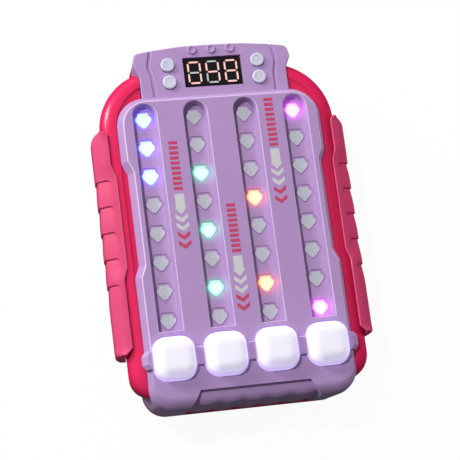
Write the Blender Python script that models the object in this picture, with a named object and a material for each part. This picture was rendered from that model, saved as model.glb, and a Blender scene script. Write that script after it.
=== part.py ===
"""Hand-held electronic bubble pop game: four lit lanes, four light-up keys and a three-digit display.

The case lies on its back. +Z comes out of the face, +Y points to the display, +X to the right.
Plan sizes are measured from the middle of the lens grid, and one empty then centres the whole game.
"""

import math

import bmesh
import bpy
from mathutils import Vector

MM = 0.001

# Fits and cutters
SEAT_GAP = 0.3 * MM
OVERRUN = 2.0 * MM
MIN_RADIUS = 0.1 * MM
ARC_STEPS = 4
BODY_STEPS = 6
DOOR_STEPS = 2
ROUND_SIDES = 12
SMALL_SIDES = 8
SCREW_SIDES = 6
SMOOTH_BELOW = math.radians(30)

# Lens grid
LANES = 4
LENSES_PER_LANE = 8
LANE_PITCH = 23.0 * MM
LENS_PITCH = 13.08 * MM
LENS_WIDTH = 7.8 * MM
LENS_HEIGHT = 7.1 * MM
LENS_PROUD = 0.35 * MM
LENS_CHAMFER = 0.35 * MM
LENS_PLATE_WIDTH = 8.9 * MM
LENS_PLATE_THICK = 1.4 * MM

# Crimson body, from the back up
BODY_MARGIN = 7.2 * MM
BODY_TOP_Y = 70.0 * MM
BODY_FRONT_Y = -78.3 * MM
BODY_TOP_RADIUS = 28.0 * MM
BODY_FRONT_RADIUS = 11.5 * MM
BODY_DRAFT = 0.17
BACK_HEIGHT = 12.0 * MM
BACK_FLOOR = 2.8 * MM
BACK_ROUND = 6.5 * MM
WALL = 2.3 * MM
RIM_HEIGHT = 28.3 * MM
RIM_ROUND = 5.5 * MM
BED_INSET = 7.0 * MM
BED_DROP = 0.6 * MM
BED_THICK = 2.0 * MM
BED_LEDGE = 1.4 * MM
LIP_THICK = 1.3 * MM
LIP_HEIGHT = 2.0 * MM

# Lilac face panel
PANEL_MARGIN = 0.9 * MM
PANEL_WAIST = 2.3 * MM
PANEL_TOP_Y = 56.0 * MM
PANEL_FRONT_Y = -64.0 * MM
PANEL_RADIUS = 13.5 * MM
PANEL_RISE = 4.0 * MM
PANEL_BEVEL = 2.5 * MM
PANEL_SKIN = 2.0 * MM
WAIST_TOP_Y = 26.3 * MM
WAIST_FRONT_Y = -25.3 * MM
WAIST_RAMP = 5.1 * MM
WAIST_RADIUS = 2.0 * MM
SLOT_WIDTH = 11.0 * MM
SLOT_FLOOR_WIDTH = 9.2 * MM
SLOT_TOP_Y = 52.5 * MM
SLOT_FRONT_Y = -50.6 * MM
SLOT_DEPTH = 4.3 * MM
SLOT_FLOOR_SKIN = 1.8 * MM
TROUGH_WALL = 1.2 * MM

# Display head
HEAD_HALF_WIDTH = 36.7 * MM
HEAD_START_Y = 52.0 * MM
HEAD_TOP_Y = 79.5 * MM
HEAD_STEP = 3.2 * MM
HEAD_DEPTH = 13.8 * MM
HEAD_DRAFT = 1.4 * MM
HEAD_SKIN = 2.0 * MM
GROOVE_WIDTH = 1.9 * MM
GROOVE_DEPTH = 1.2 * MM
STUD_DIAMETER = 3.9 * MM
STUD_HEIGHT = 0.8 * MM
STUD_DIMPLE = 0.35 * MM
STUD_PITCH = 8.8 * MM
STUD_Y = 77.0 * MM
TONGUE_START_Y = 60.0 * MM
TONGUE_BASE = 4.0 * MM
TONGUE_BASE_INSET = 3.0 * MM

# Display
WINDOW_WIDTH = 26.6 * MM
WINDOW_HEIGHT = 13.8 * MM
WINDOW_Y = 66.6 * MM
WINDOW_BEVEL = 0.7 * MM
WINDOW_RADIUS = 0.6 * MM
DISPLAY_MARGIN = 1.3 * MM
DISPLAY_SINK = 1.2 * MM
DISPLAY_SKIN = 1.3 * MM
DISPLAY_WALL = 1.2 * MM
DIGITS = 3
DIGIT_PITCH = 8.5 * MM
DIGIT_WIDTH = 6.2 * MM
DIGIT_HEIGHT = 10.0 * MM
SEGMENT_WIDTH = 1.0 * MM
SEGMENT_BREAK = 0.5 * MM
SEGMENT_GAP = 0.15 * MM
DIGIT_PLATE = 1.2 * MM

# Round buttons beside the display
BUTTON_DIAMETER = 6.4 * MM
BUTTON_X = 20.8 * MM
BUTTON_Y = 66.5 * MM
BUTTON_PITCH = 8.1 * MM
BUTTON_PROUD = 1.2 * MM
BUTTON_ROUND = 0.5 * MM
BUTTON_FLANGE = 0.35 * MM
BUTTON_FLANGE_THICK = 1.2 * MM
BUTTON_STEM_DIAMETER = 3.0 * MM
BUTTON_TRAVEL = 0.6 * MM

# Key band, keys and chin
KEY_Y = -62.3 * MM
KEY_SPACING = 3.6 * MM
KEY_RADIUS = 5.6 * MM
KEY_PROUD = 4.5 * MM
KEY_CROWN = 0.9 * MM
KEY_TAPER = 1.5 * MM
KEY_SKIN = 1.8 * MM
KEY_FLANGE = 0.8 * MM
KEY_FLANGE_THICK = 1.6 * MM
KEY_POST_DIAMETER = 6.0 * MM
KEY_TRAVEL = 2.0 * MM
KEY_STEPS = 3
BAND_WIDTH = 8.0 * MM
BAND_RISE = 1.0 * MM
BAND_CHAMFER = 0.7 * MM
TAB_REACH = 1.6 * MM
TAB_CHAMFER = 2.0 * MM
TAB_DROP = 2.0 * MM
CHIN_START_Y = -60.6 * MM
CHIN_STEP = 0.15 * MM
CHIN_FRONT_Y = -85.0 * MM
CHIN_RADIUS = 11.0 * MM
CHIN_DROP = 1.0 * MM
CHIN_ROUND = 6.0 * MM
CHIN_SKIN = 2.0 * MM
CHIN_WALL = 3.4 * MM
CHIN_FOOT = 5.3 * MM
CHIN_FOOT_DRAFT = 0.9 * MM
RECESS_TOP_Y = -77.2 * MM
RECESS_TOP_HALF_WIDTH = 24.7 * MM
RECESS_FOOT_HALF_WIDTH = 30.0 * MM
RECESS_DEPTH = 1.9 * MM
FLUTES = 5
FLUTE_PITCH = 11.2 * MM
FLUTE_HEIGHT = 0.55 * MM
FLUTE_STEPS = 4

# Side grips
GRIP_BULGE = 4.7 * MM
GRIP_TOP_Y = 43.2 * MM
GRIP_FRONT_Y = -59.4 * MM
GRIP_CHANNEL = 4.5 * MM
GRIP_EDGE_RISE = 0.6 * MM
GRIP_WIDEST_DROP = 1.2 * MM
GRIP_BOTTOM_CHAMFER = 1.6 * MM
GRIP_DRAFT = 1.2 * MM
GRIP_END_THICK = 1.0 * MM
GRIP_END_LENGTH = 5.0 * MM
GRIP_END_POWER = 1.5
GRIP_INNER_STEPS = 3
RIBS = 5
RIB_TOP_Y = 19.9 * MM
RIB_PITCH = 11.8 * MM
RIB_DEPTH = 0.8 * MM
RIB_STEP = 0.5 * MM

# Main board and what is soldered on it
BOARD_THICK = 1.6 * MM
BOARD_MARGIN = 15.3 * MM
BOARD_TOP_Y = 50.5 * MM
BOARD_FRONT_Y = -73.5 * MM
BOARD_NECK_HALF_WIDTH = 24.4 * MM
BOARD_NECK_TOP_Y = 74.4 * MM
BOARD_RADIUS = 2.0 * MM
LED_HEIGHT = 1.5 * MM
LED_CLEARANCE = 0.7 * MM
SWITCH_WIDTH = 6.0 * MM
SWITCH_BODY = 1.5 * MM
SWITCH_BUTTON_DIAMETER = 3.0 * MM
SMALL_SWITCH_WIDTH = 4.5 * MM
CHIP_WIDTH = 14.0 * MM
CHIP_HEIGHT = 1.6 * MM
CHIP_Y = -12.5 * MM

# Rubber domes under the keys
BOOT_BASE_DIAMETER = 13.5 * MM
BOOT_TOP_DIAMETER = 9.0 * MM
BOOT_SKIN = 0.9 * MM
BOOT_TOP_SKIN = 1.0 * MM
BOOT_SIDES = 10

# Speaker in the back
SPEAKER_Y = 12.0 * MM
SPEAKER_DIAMETER = 36.0 * MM
SPEAKER_RIM = 1.2 * MM
SPEAKER_DEPTH = 5.4 * MM
SPEAKER_SKIN = 0.8 * MM
SPEAKER_SLOPE = 6.5 * MM
SPEAKER_BORE_DIAMETER = 6.0 * MM
SPEAKER_RING_WALL = 1.5 * MM
SPEAKER_RING_HEIGHT = 3.0 * MM
MAGNET_DIAMETER = 18.0 * MM
MAGNET_HEIGHT = 4.0 * MM
GRILLE_SLOTS = 5
GRILLE_SLOT_WIDTH = 2.2 * MM
GRILLE_PITCH = 5.6 * MM
GRILLE_RING = 3.0 * MM

# Battery bay in the back
CELLS = 3
CELL_DIAMETER = 10.2 * MM
CELL_LENGTH = 43.7 * MM
CELL_NUB = 0.8 * MM
CELL_NUB_DIAMETER = 3.8 * MM
CELL_PITCH = 11.0 * MM
CELL_END_SPACE = 3.4 * MM
BAY_Y = -44.5 * MM
BAY_WALL = 1.6 * MM
DOOR_THICK = 1.5 * MM
DOOR_LEDGE = 2.0 * MM
DOOR_RADIUS = 2.0 * MM
DOOR_TAB_LENGTH = 8.0 * MM
DOOR_TAB_HALF_WIDTH = 5.0 * MM
DOOR_BOSS_HEIGHT = 9.0 * MM
DOOR_SCREW_SEAT = 2.2 * MM
DOOR_CUP_WALL = 0.9 * MM
THUMB_GROOVES = 3
THUMB_LENGTH = 18.0 * MM
THUMB_WIDTH = 1.2 * MM
THUMB_DEPTH = 0.5 * MM
THUMB_PITCH = 2.6 * MM
CONTACT_THICK = 0.5 * MM
CONTACT_WIDTH = 8.6 * MM
CONTACT_TAIL_WIDTH = 3.0 * MM
CONTACT_TAIL = 2.2 * MM
SPRING_BASE_DIAMETER = 7.0 * MM
SPRING_TIP_DIAMETER = 3.6 * MM
SPRING_TURNS = 3
LEAD_DIAMETER = 1.1 * MM
LEAD_SIDES = 6
LEAD_STEPS = 2

# Screws and their bosses
CASE_SCREW_MARGIN = 12.1 * MM
CASE_SCREW_TOP_Y = 36.0 * MM
CASE_SCREW_FRONT_Y = -47.4 * MM
HEAD_SCREW_X = 28.2 * MM
HEAD_SCREW_Y = 69.4 * MM
SCREW_DIAMETER = 2.3 * MM
SCREW_HEAD_DIAMETER = 4.4 * MM
SCREW_HEAD_HEIGHT = 1.4 * MM
SCREW_SEAT = 8.0 * MM
SCREW_BITE = 5.0 * MM
POST_DIAMETER = 5.4 * MM
POST_FOOT = 16.0 * MM
BOSS_DIAMETER = 7.2 * MM
BOARD_SCREW_Y = 30.0 * MM
BOARD_SCREW_DIAMETER = 1.8 * MM
BOARD_SCREW_HEAD_DIAMETER = 3.6 * MM
BOARD_SCREW_BITE = 4.0 * MM
BOARD_POST_DIAMETER = 4.6 * MM

# Widths that follow from the lanes
PANEL_HALF_WIDTH = LANES * LANE_PITCH / 2 + PANEL_MARGIN
BODY_HALF_WIDTH = PANEL_HALF_WIDTH + BODY_MARGIN
KEY_WIDTH = LANE_PITCH - KEY_SPACING
BOARD_HALF_WIDTH = BODY_HALF_WIDTH - BOARD_MARGIN
CASE_SCREW_X = BODY_HALF_WIDTH - CASE_SCREW_MARGIN

# Heights that follow
RIM_SPRING = RIM_HEIGHT - RIM_ROUND
SPEAKER_BACK_DIAMETER = SPEAKER_DIAMETER - 2 * SPEAKER_SLOPE
BED_Z = RIM_HEIGHT - BED_DROP
PANEL_SEAT = BED_Z + SEAT_GAP
PANEL_TOP = PANEL_SEAT + PANEL_RISE
SLOT_FLOOR = PANEL_TOP - SLOT_DEPTH
TROUGH_FOOT = SLOT_FLOOR - SLOT_FLOOR_SKIN
PANEL_CEILING = PANEL_TOP - PANEL_SKIN
HEAD_TOP = PANEL_TOP - HEAD_STEP
HEAD_CEILING = HEAD_TOP - HEAD_SKIN
HEAD_FOOT = HEAD_TOP - HEAD_DEPTH
CHIN_TOP = PANEL_TOP - CHIN_DROP
KEY_CEILING = CHIN_TOP - CHIN_SKIN + SEAT_GAP
BAND_TOP = PANEL_TOP + BAND_RISE
KEY_TOP = PANEL_TOP + KEY_PROUD
KEY_FOOT = KEY_CEILING - SEAT_GAP - KEY_FLANGE_THICK
LENS_PLATE_TOP = TROUGH_FOOT - SEAT_GAP
LENS_PLATE_FOOT = LENS_PLATE_TOP - LENS_PLATE_THICK
BOARD_TOP = LENS_PLATE_FOOT - LED_CLEARANCE - LED_HEIGHT
BOARD_FOOT = BOARD_TOP - BOARD_THICK
SWITCH_BUTTON = KEY_FOOT - BOOT_TOP_SKIN - KEY_TRAVEL - SEAT_GAP - BOARD_TOP - SWITCH_BODY
LENS_GRID_HALF = (LENSES_PER_LANE - 1) / 2
CENTRE_Y = (HEAD_TOP_Y + CHIN_FRONT_Y) / 2


# The sRGB curve, from a written colour to its linear light
SRGB_KNEE = 0.04045
SRGB_SLOPE = 12.92
SRGB_LIFT = 0.055
SRGB_POWER = 2.4


def clear_scene():
    for thing in list(bpy.data.objects):
        bpy.data.objects.remove(thing)


def finish(name, colour, roughness, metallic=0.0, transmission=0.0):
    """A Principled surface from an sRGB hex colour."""
    def linear(channel):
        if channel <= SRGB_KNEE:
            return channel / SRGB_SLOPE
        return ((channel + SRGB_LIFT) / (1 + SRGB_LIFT)) ** SRGB_POWER
    red, green, blue = (linear(int(colour[at:at + 2], 16) / 255) for at in (0, 2, 4))
    material = bpy.data.materials.new(name)
    material.use_nodes = True
    shader = material.node_tree.nodes["Principled BSDF"]
    shader.inputs["Base Color"].default_value = (red, green, blue, 1)
    shader.inputs["Roughness"].default_value = roughness
    shader.inputs["Metallic"].default_value = metallic
    shader.inputs["Transmission Weight"].default_value = transmission
    return material


def make_finishes():
    return {
        "lilac": finish("lilac_abs", "AE8FC3", 0.38),
        "crimson": finish("crimson_abs", "DE245A", 0.28),
        "grip": finish("crimson_soft_touch", "E0466F", 0.6),
        "lens": finish("clouded_polycarbonate", "C3C5CF", 0.35, transmission=0.4),
        "key": finish("white_translucent_abs", "F2F2FF", 0.3, transmission=0.3),
        "button": finish("grey_silicone", "CDCBDC", 0.5),
        "black": finish("black_abs", "111015", 0.35),
        "digit": finish("clouded_epoxy", "FFE4E0", 0.4),
        "board": finish("green_circuit_board", "1F6B45", 0.45),
        "rubber": finish("clear_silicone", "D8D8D4", 0.6, transmission=0.2),
        "steel": finish("zinc_plated_steel", "B9BCC0", 0.35, metallic=1.0),
        "cell": finish("cell_sleeve", "2B2D33", 0.4),
        "paper": finish("speaker_paper", "26262A", 0.8),
        "lead_plus": finish("red_wire_sleeve", "B3262B", 0.45),
        "lead_minus": finish("black_wire_sleeve", "1B1B1D", 0.45),
    }


def solid(name, bodies, material=None, ring_shaped=False):
    """Joins each list of equal rings into a closed body; a ring-shaped body closes on its first ring."""
    mesh = bmesh.new()
    for rings in bodies:
        loops = [[mesh.verts.new(point) for point in ring] for ring in rings]
        pairs = list(zip(loops, loops[1:]))
        if ring_shaped:
            pairs.append((loops[-1], loops[0]))
        else:
            mesh.faces.new(list(reversed(loops[0])))
            mesh.faces.new(loops[-1])
        for low, high in pairs:
            for at in range(len(low)):
                after = (at + 1) % len(low)
                mesh.faces.new((low[at], low[after], high[after], high[at]))
    bmesh.ops.recalc_face_normals(mesh, faces=mesh.faces)
    data = bpy.data.meshes.new(name)
    mesh.to_mesh(data)
    mesh.free()
    thing = bpy.data.objects.new(name, data)
    bpy.context.scene.collection.objects.link(thing)
    if material:
        data.materials.append(material)
    return thing


def combine(target, cutter, operation="DIFFERENCE"):
    """Cuts, joins or intersects two solids and drops the second one."""
    modifier = target.modifiers.new(operation.title(), "BOOLEAN")
    modifier.operation = operation
    modifier.solver = "EXACT"
    modifier.object = cutter
    with bpy.context.temp_override(object=target, active_object=target):
        bpy.ops.object.modifier_apply(modifier=modifier.name)
    bpy.data.objects.remove(cutter)
    return target


def inset(outline, distance):
    """Moves each side of a counter-clockwise outline of (x, y, corner radius) inwards."""
    moved = []
    for at, (x, y, radius) in enumerate(outline):
        before = Vector(outline[at - 1][:2])
        here = Vector((x, y))
        after = Vector(outline[(at + 1) % len(outline)][:2])
        arriving = (here - before).normalized()
        leaving = (after - here).normalized()
        normal_in = Vector((-arriving.y, arriving.x))
        normal_out = Vector((-leaving.y, leaving.x))
        turn = arriving.cross(leaving)
        point = here + (normal_in + normal_out) * distance / (1 + normal_in.dot(normal_out))
        if radius:
            radius = max(radius - distance if turn > 0 else radius + distance, MIN_RADIUS)
        moved.append((point.x, point.y, radius))
    return moved


def rounded(outline, steps=ARC_STEPS):
    """Turns an outline of (x, y, corner radius) into points; a quarter turn has the full number of steps."""
    points = []
    for at, (x, y, radius) in enumerate(outline):
        here = Vector((x, y))
        if not radius:
            points.append(here)
            continue
        arriving = here - Vector(outline[at - 1][:2])
        leaving = Vector(outline[(at + 1) % len(outline)][:2]) - here
        room = min(arriving.length, leaving.length) / 2
        arriving.normalize()
        leaving.normalize()
        turn = math.atan2(arriving.cross(leaving), arriving.dot(leaving))
        side = 1 if turn > 0 else -1
        tangent = min(radius * math.tan(abs(turn) / 2), room)
        radius = tangent / math.tan(abs(turn) / 2)
        inward = Vector((-arriving.y, arriving.x)) * side
        centre = here - arriving * tangent + inward * radius
        start = math.atan2(-inward.y, -inward.x)
        share_of_quarter = abs(turn) / (math.pi / 2)
        arc_steps = max(round(steps * share_of_quarter), 1)
        for step in range(arc_steps + 1):
            angle = start + turn * step / arc_steps
            points.append(centre + radius * Vector((math.cos(angle), math.sin(angle))))
    return points


def flat_ring(points, z):
    return [(point[0], point[1], z) for point in points]


def prism_rings(outline, levels, steps=ARC_STEPS):
    """Rings of an outline at each (height, inset)."""
    return [flat_ring(rounded(inset(outline, distance), steps), z) for z, distance in levels]


def prism(name, outline, levels, material=None, steps=ARC_STEPS):
    return solid(name, [prism_rings(outline, levels, steps)], material)


def rectangle(x, y, width, height, radius=0):
    """A counter-clockwise outline round a centre."""
    corners = ((-1, -1), (1, -1), (1, 1), (-1, 1))
    return [(x + side * width / 2, y + end * height / 2, radius) for side, end in corners]


def mirrored(half):
    """Completes an outline whose right half runs from front to top."""
    return half + [(-x, y, radius) for x, y, radius in reversed(half) if x]


def disc(x, y, radius, z, sides=ROUND_SIDES):
    turns = [math.tau * at / sides for at in range(sides)]
    return [(x + radius * math.cos(turn), y + radius * math.sin(turn), z) for turn in turns]


def turned_rings(x, y, profile, sides=ROUND_SIDES):
    """Rings of a turned shape from its (radius, height) profile."""
    return [disc(x, y, radius, z, sides) for radius, z in profile]


def move_origin(thing, x, y, z):
    """Puts an object's origin on its joint's axis and leaves the shape where it is."""
    place = Vector((x, y, z))
    for vertex in thing.data.vertices:
        vertex.co -= place
    thing.location = place


def lane_x(lane):
    return (lane - (LANES - 1) / 2) * LANE_PITCH


def lens_y(number):
    return (LENS_GRID_HALF - number) * LENS_PITCH


def body_inset(z):
    """How far the drafted side has drawn in at a height below the widest line."""
    return BODY_DRAFT * max(RIM_SPRING - z, 0)


def body_outline():
    return mirrored([(BODY_HALF_WIDTH, BODY_FRONT_Y, BODY_FRONT_RADIUS),
                     (BODY_HALF_WIDTH, BODY_TOP_Y, BODY_TOP_RADIUS)])


def panel_outline(front_y=PANEL_FRONT_Y, front_radius=0):
    """The waisted outline of the lane panel where it meets the crimson bed."""
    narrow = PANEL_HALF_WIDTH - PANEL_WAIST
    return mirrored([(PANEL_HALF_WIDTH, front_y, front_radius),
                     (PANEL_HALF_WIDTH, WAIST_FRONT_Y, WAIST_RADIUS),
                     (narrow, WAIST_FRONT_Y + WAIST_RAMP, WAIST_RADIUS),
                     (narrow, WAIST_TOP_Y - WAIST_RAMP, WAIST_RADIUS),
                     (PANEL_HALF_WIDTH, WAIST_TOP_Y, WAIST_RADIUS),
                     (PANEL_HALF_WIDTH, PANEL_TOP_Y, PANEL_RADIUS)])


# Head outline: shares of its half width and of its length, and corner radii as shares of the half width
HEAD_OUTLINE_SHARES = ((0.932, 0.0, 0.0), (0.932, 0.52, 0.1), (1.0, 0.72, 0.06), (0.97, 0.90, 0.08),
                       (0.76, 0.945, 0.2), (0.38, 0.992, 0.4), (0.0, 1.0, 0.0))


def head_outline(start_y=HEAD_START_Y):
    length = HEAD_TOP_Y - HEAD_START_Y
    half = [(x * HEAD_HALF_WIDTH, max(HEAD_START_Y + y * length, start_y), radius * HEAD_HALF_WIDTH)
            for x, y, radius in HEAD_OUTLINE_SHARES]
    return mirrored(half)


def chin_outline(start_y=CHIN_START_Y):
    half_width = PANEL_HALF_WIDTH - CHIN_STEP
    return mirrored([(half_width, CHIN_FRONT_Y, CHIN_RADIUS), (half_width, start_y, 0)])


def chin_profile(depth):
    """Side view of the chin's top and front, a depth below the outside, as (y, z) points."""
    centre_y = CHIN_FRONT_Y + CHIN_ROUND
    centre_z = CHIN_TOP - CHIN_ROUND
    radius = CHIN_ROUND - depth
    turns = [math.pi / 2 * step / ARC_STEPS for step in range(ARC_STEPS + 1)]
    return [(centre_y - radius * math.sin(turn), centre_z + radius * math.cos(turn)) for turn in turns]


def chin_block(depth, foot, start_y):
    """The chin's solid, a depth below its outside: a rounded plan crossed with a rounded side view."""
    plan = chin_outline(start_y)
    foot_inset = CHIN_FOOT_DRAFT * (PANEL_SEAT - foot) / (PANEL_SEAT - CHIN_FOOT)
    levels = [(foot, depth + foot_inset), (PANEL_SEAT, depth), (PANEL_TOP, depth + PANEL_BEVEL)]
    block = prism("chin_block", plan, levels)
    section = [(start_y + OVERRUN, foot - OVERRUN), (start_y + OVERRUN, CHIN_TOP - depth)]
    section += chin_profile(depth)
    section += [(CHIN_FRONT_Y + depth, foot - OVERRUN)]
    reach = PANEL_HALF_WIDTH + OVERRUN
    rings = [[(side * reach, y, z) for y, z in section] for side in (-1, 1)]
    return combine(block, solid("chin_side_view", [rings]), "INTERSECT")


def flute(x):
    """Height of the finger flutes at x, a row of rounded bumps."""
    from_middle = abs(x) / FLUTE_PITCH
    if from_middle > FLUTES / 2:
        return 0
    return FLUTE_HEIGHT * abs(math.cos(math.pi * from_middle))


def recess_cutter():
    """Trapezoid finger recess in the chin: its floor follows the chin's profile, with flutes on the front."""
    profile = chin_profile(RECESS_DEPTH)
    top_z = profile[0][1]
    steps = FLUTES * FLUTE_STEPS
    rings = []
    for step in range(steps + 1):
        share = 2 * step / steps - 1
        section = [(RECESS_TOP_Y, CHIN_TOP + OVERRUN), (RECESS_TOP_Y, top_z)]
        foot_x = share * RECESS_FOOT_HALF_WIDTH
        section += [(y - flute(foot_x) * at / ARC_STEPS, z) for at, (y, z) in enumerate(profile[1:], 1)]
        front_y = CHIN_FRONT_Y + RECESS_DEPTH - flute(foot_x)
        section += [(front_y, CHIN_FOOT - OVERRUN), (CHIN_FRONT_Y - OVERRUN, CHIN_FOOT - OVERRUN),
                    (CHIN_FRONT_Y - OVERRUN, CHIN_TOP + OVERRUN)]
        ring = []
        for y, z in section:
            way = min(max((RECESS_TOP_Y - y) / (RECESS_TOP_Y - CHIN_FRONT_Y), 0), 1)
            width = RECESS_TOP_HALF_WIDTH + (RECESS_FOOT_HALF_WIDTH - RECESS_TOP_HALF_WIDTH) * way
            ring.append((share * width, y, z))
        rings.append(ring)
    return solid("finger_recess", [rings])


def key_band(material=None):
    """Raised band between the keys, with a chamfered tab past each side of the panel."""
    reach = PANEL_HALF_WIDTH + TAB_REACH
    half = BAND_WIDTH / 2
    plan = mirrored([(PANEL_HALF_WIDTH - TAB_CHAMFER, KEY_Y - half, 0), (PANEL_HALF_WIDTH, KEY_Y - half, 0),
                     (reach, KEY_Y - half + TAB_CHAMFER, 0), (reach, KEY_Y + half - TAB_CHAMFER, 0),
                     (PANEL_HALF_WIDTH, KEY_Y + half, 0), (PANEL_HALF_WIDTH - TAB_CHAMFER, KEY_Y + half, 0)])
    top_plan = mirrored([(PANEL_HALF_WIDTH - PANEL_BEVEL - TAB_CHAMFER, KEY_Y - half, 0),
                         (PANEL_HALF_WIDTH - PANEL_BEVEL, KEY_Y - half, 0),
                         (reach - PANEL_BEVEL, KEY_Y - half + TAB_CHAMFER, 0),
                         (reach - PANEL_BEVEL, KEY_Y + half - TAB_CHAMFER, 0),
                         (PANEL_HALF_WIDTH - PANEL_BEVEL, KEY_Y + half, 0),
                         (PANEL_HALF_WIDTH - PANEL_BEVEL - TAB_CHAMFER, KEY_Y + half, 0)])
    rings = [flat_ring(rounded(plan), RIM_HEIGHT + SEAT_GAP), flat_ring(rounded(plan), BAND_TOP - TAB_DROP),
             flat_ring(rounded(top_plan), BAND_TOP - BAND_CHAMFER),
             flat_ring(rounded(inset(top_plan, BAND_CHAMFER)), BAND_TOP)]
    return solid("key_band", [rings], material)


def slot_plan(lane, grow=0):
    """A lane slot in plan: round at the display end, square at the keys."""
    x = lane_x(lane)
    half = SLOT_WIDTH / 2
    plan = [(x - half, SLOT_FRONT_Y, 0), (x + half, SLOT_FRONT_Y, 0), (x + half, SLOT_TOP_Y, half),
            (x - half, SLOT_TOP_Y, half)]
    return inset(plan, -grow)


# Gem-shaped lens: half of its outline, as shares of its half width and half height
GEM_SHARES = ((0.17, -1.0), (0.9, -0.12), (1.0, 0.34), (0.6, 1.0))


def gem_outline(lane, number, grow=0):
    x = lane_x(lane)
    y = lens_y(number)
    half = [(share_x * LENS_WIDTH / 2, share_y * LENS_HEIGHT / 2, 0) for share_x, share_y in GEM_SHARES]
    return [(x + across, y + along, radius) for across, along, radius in inset(mirrored(half), -grow)]


def key_outline(lane, width):
    grow = (width - KEY_WIDTH) / 2
    return rectangle(lane_x(lane), KEY_Y, width, width, KEY_RADIUS + grow)


def case_screw_places():
    places = [(side * CASE_SCREW_X, y) for y in (CASE_SCREW_FRONT_Y, CASE_SCREW_TOP_Y) for side in (-1, 1)]
    return places + [(side * HEAD_SCREW_X, HEAD_SCREW_Y) for side in (-1, 1)]


def board_screw_places():
    return [(side * LANE_PITCH, end * BOARD_SCREW_Y) for end in (-1, 1) for side in (-1, 1)]


def button_places():
    rows = (BUTTON_Y + BUTTON_PITCH / 2, BUTTON_Y - BUTTON_PITCH / 2)
    return [(side * BUTTON_X, y) for side in (-1, 1) for y in rows]


# Zigzag groove in the head: shares of the head's half width and of its length
GROOVE_SHARES = ((0.739, 1.04), (0.806, 0.67), (0.771, 0.47), (0.764, 0.145))


def groove_rings(side):
    """A V-shaped cutter along the zigzag, mitred at its corners."""
    length = HEAD_TOP_Y - HEAD_START_Y
    path = [Vector((side * x * HEAD_HALF_WIDTH, HEAD_START_Y + y * length)) for x, y in GROOVE_SHARES]
    rings = []
    for at, here in enumerate(path):
        arriving = (here - path[at - 1]).normalized() if at else (path[1] - here).normalized()
        leaving = (path[at + 1] - here).normalized() if at + 1 < len(path) else arriving
        across = (arriving + leaving).normalized()
        across = Vector((-across.y, across.x)) / across.dot(arriving)
        edge = across * GROOVE_WIDTH / 2
        rise = OVERRUN / GROOVE_DEPTH + 1
        rings.append([(here.x, here.y, HEAD_TOP - GROOVE_DEPTH),
                      (here.x + edge.x * rise, here.y + edge.y * rise, HEAD_TOP + OVERRUN),
                      (here.x - edge.x * rise, here.y - edge.y * rise, HEAD_TOP + OVERRUN)])
    return rings


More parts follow.
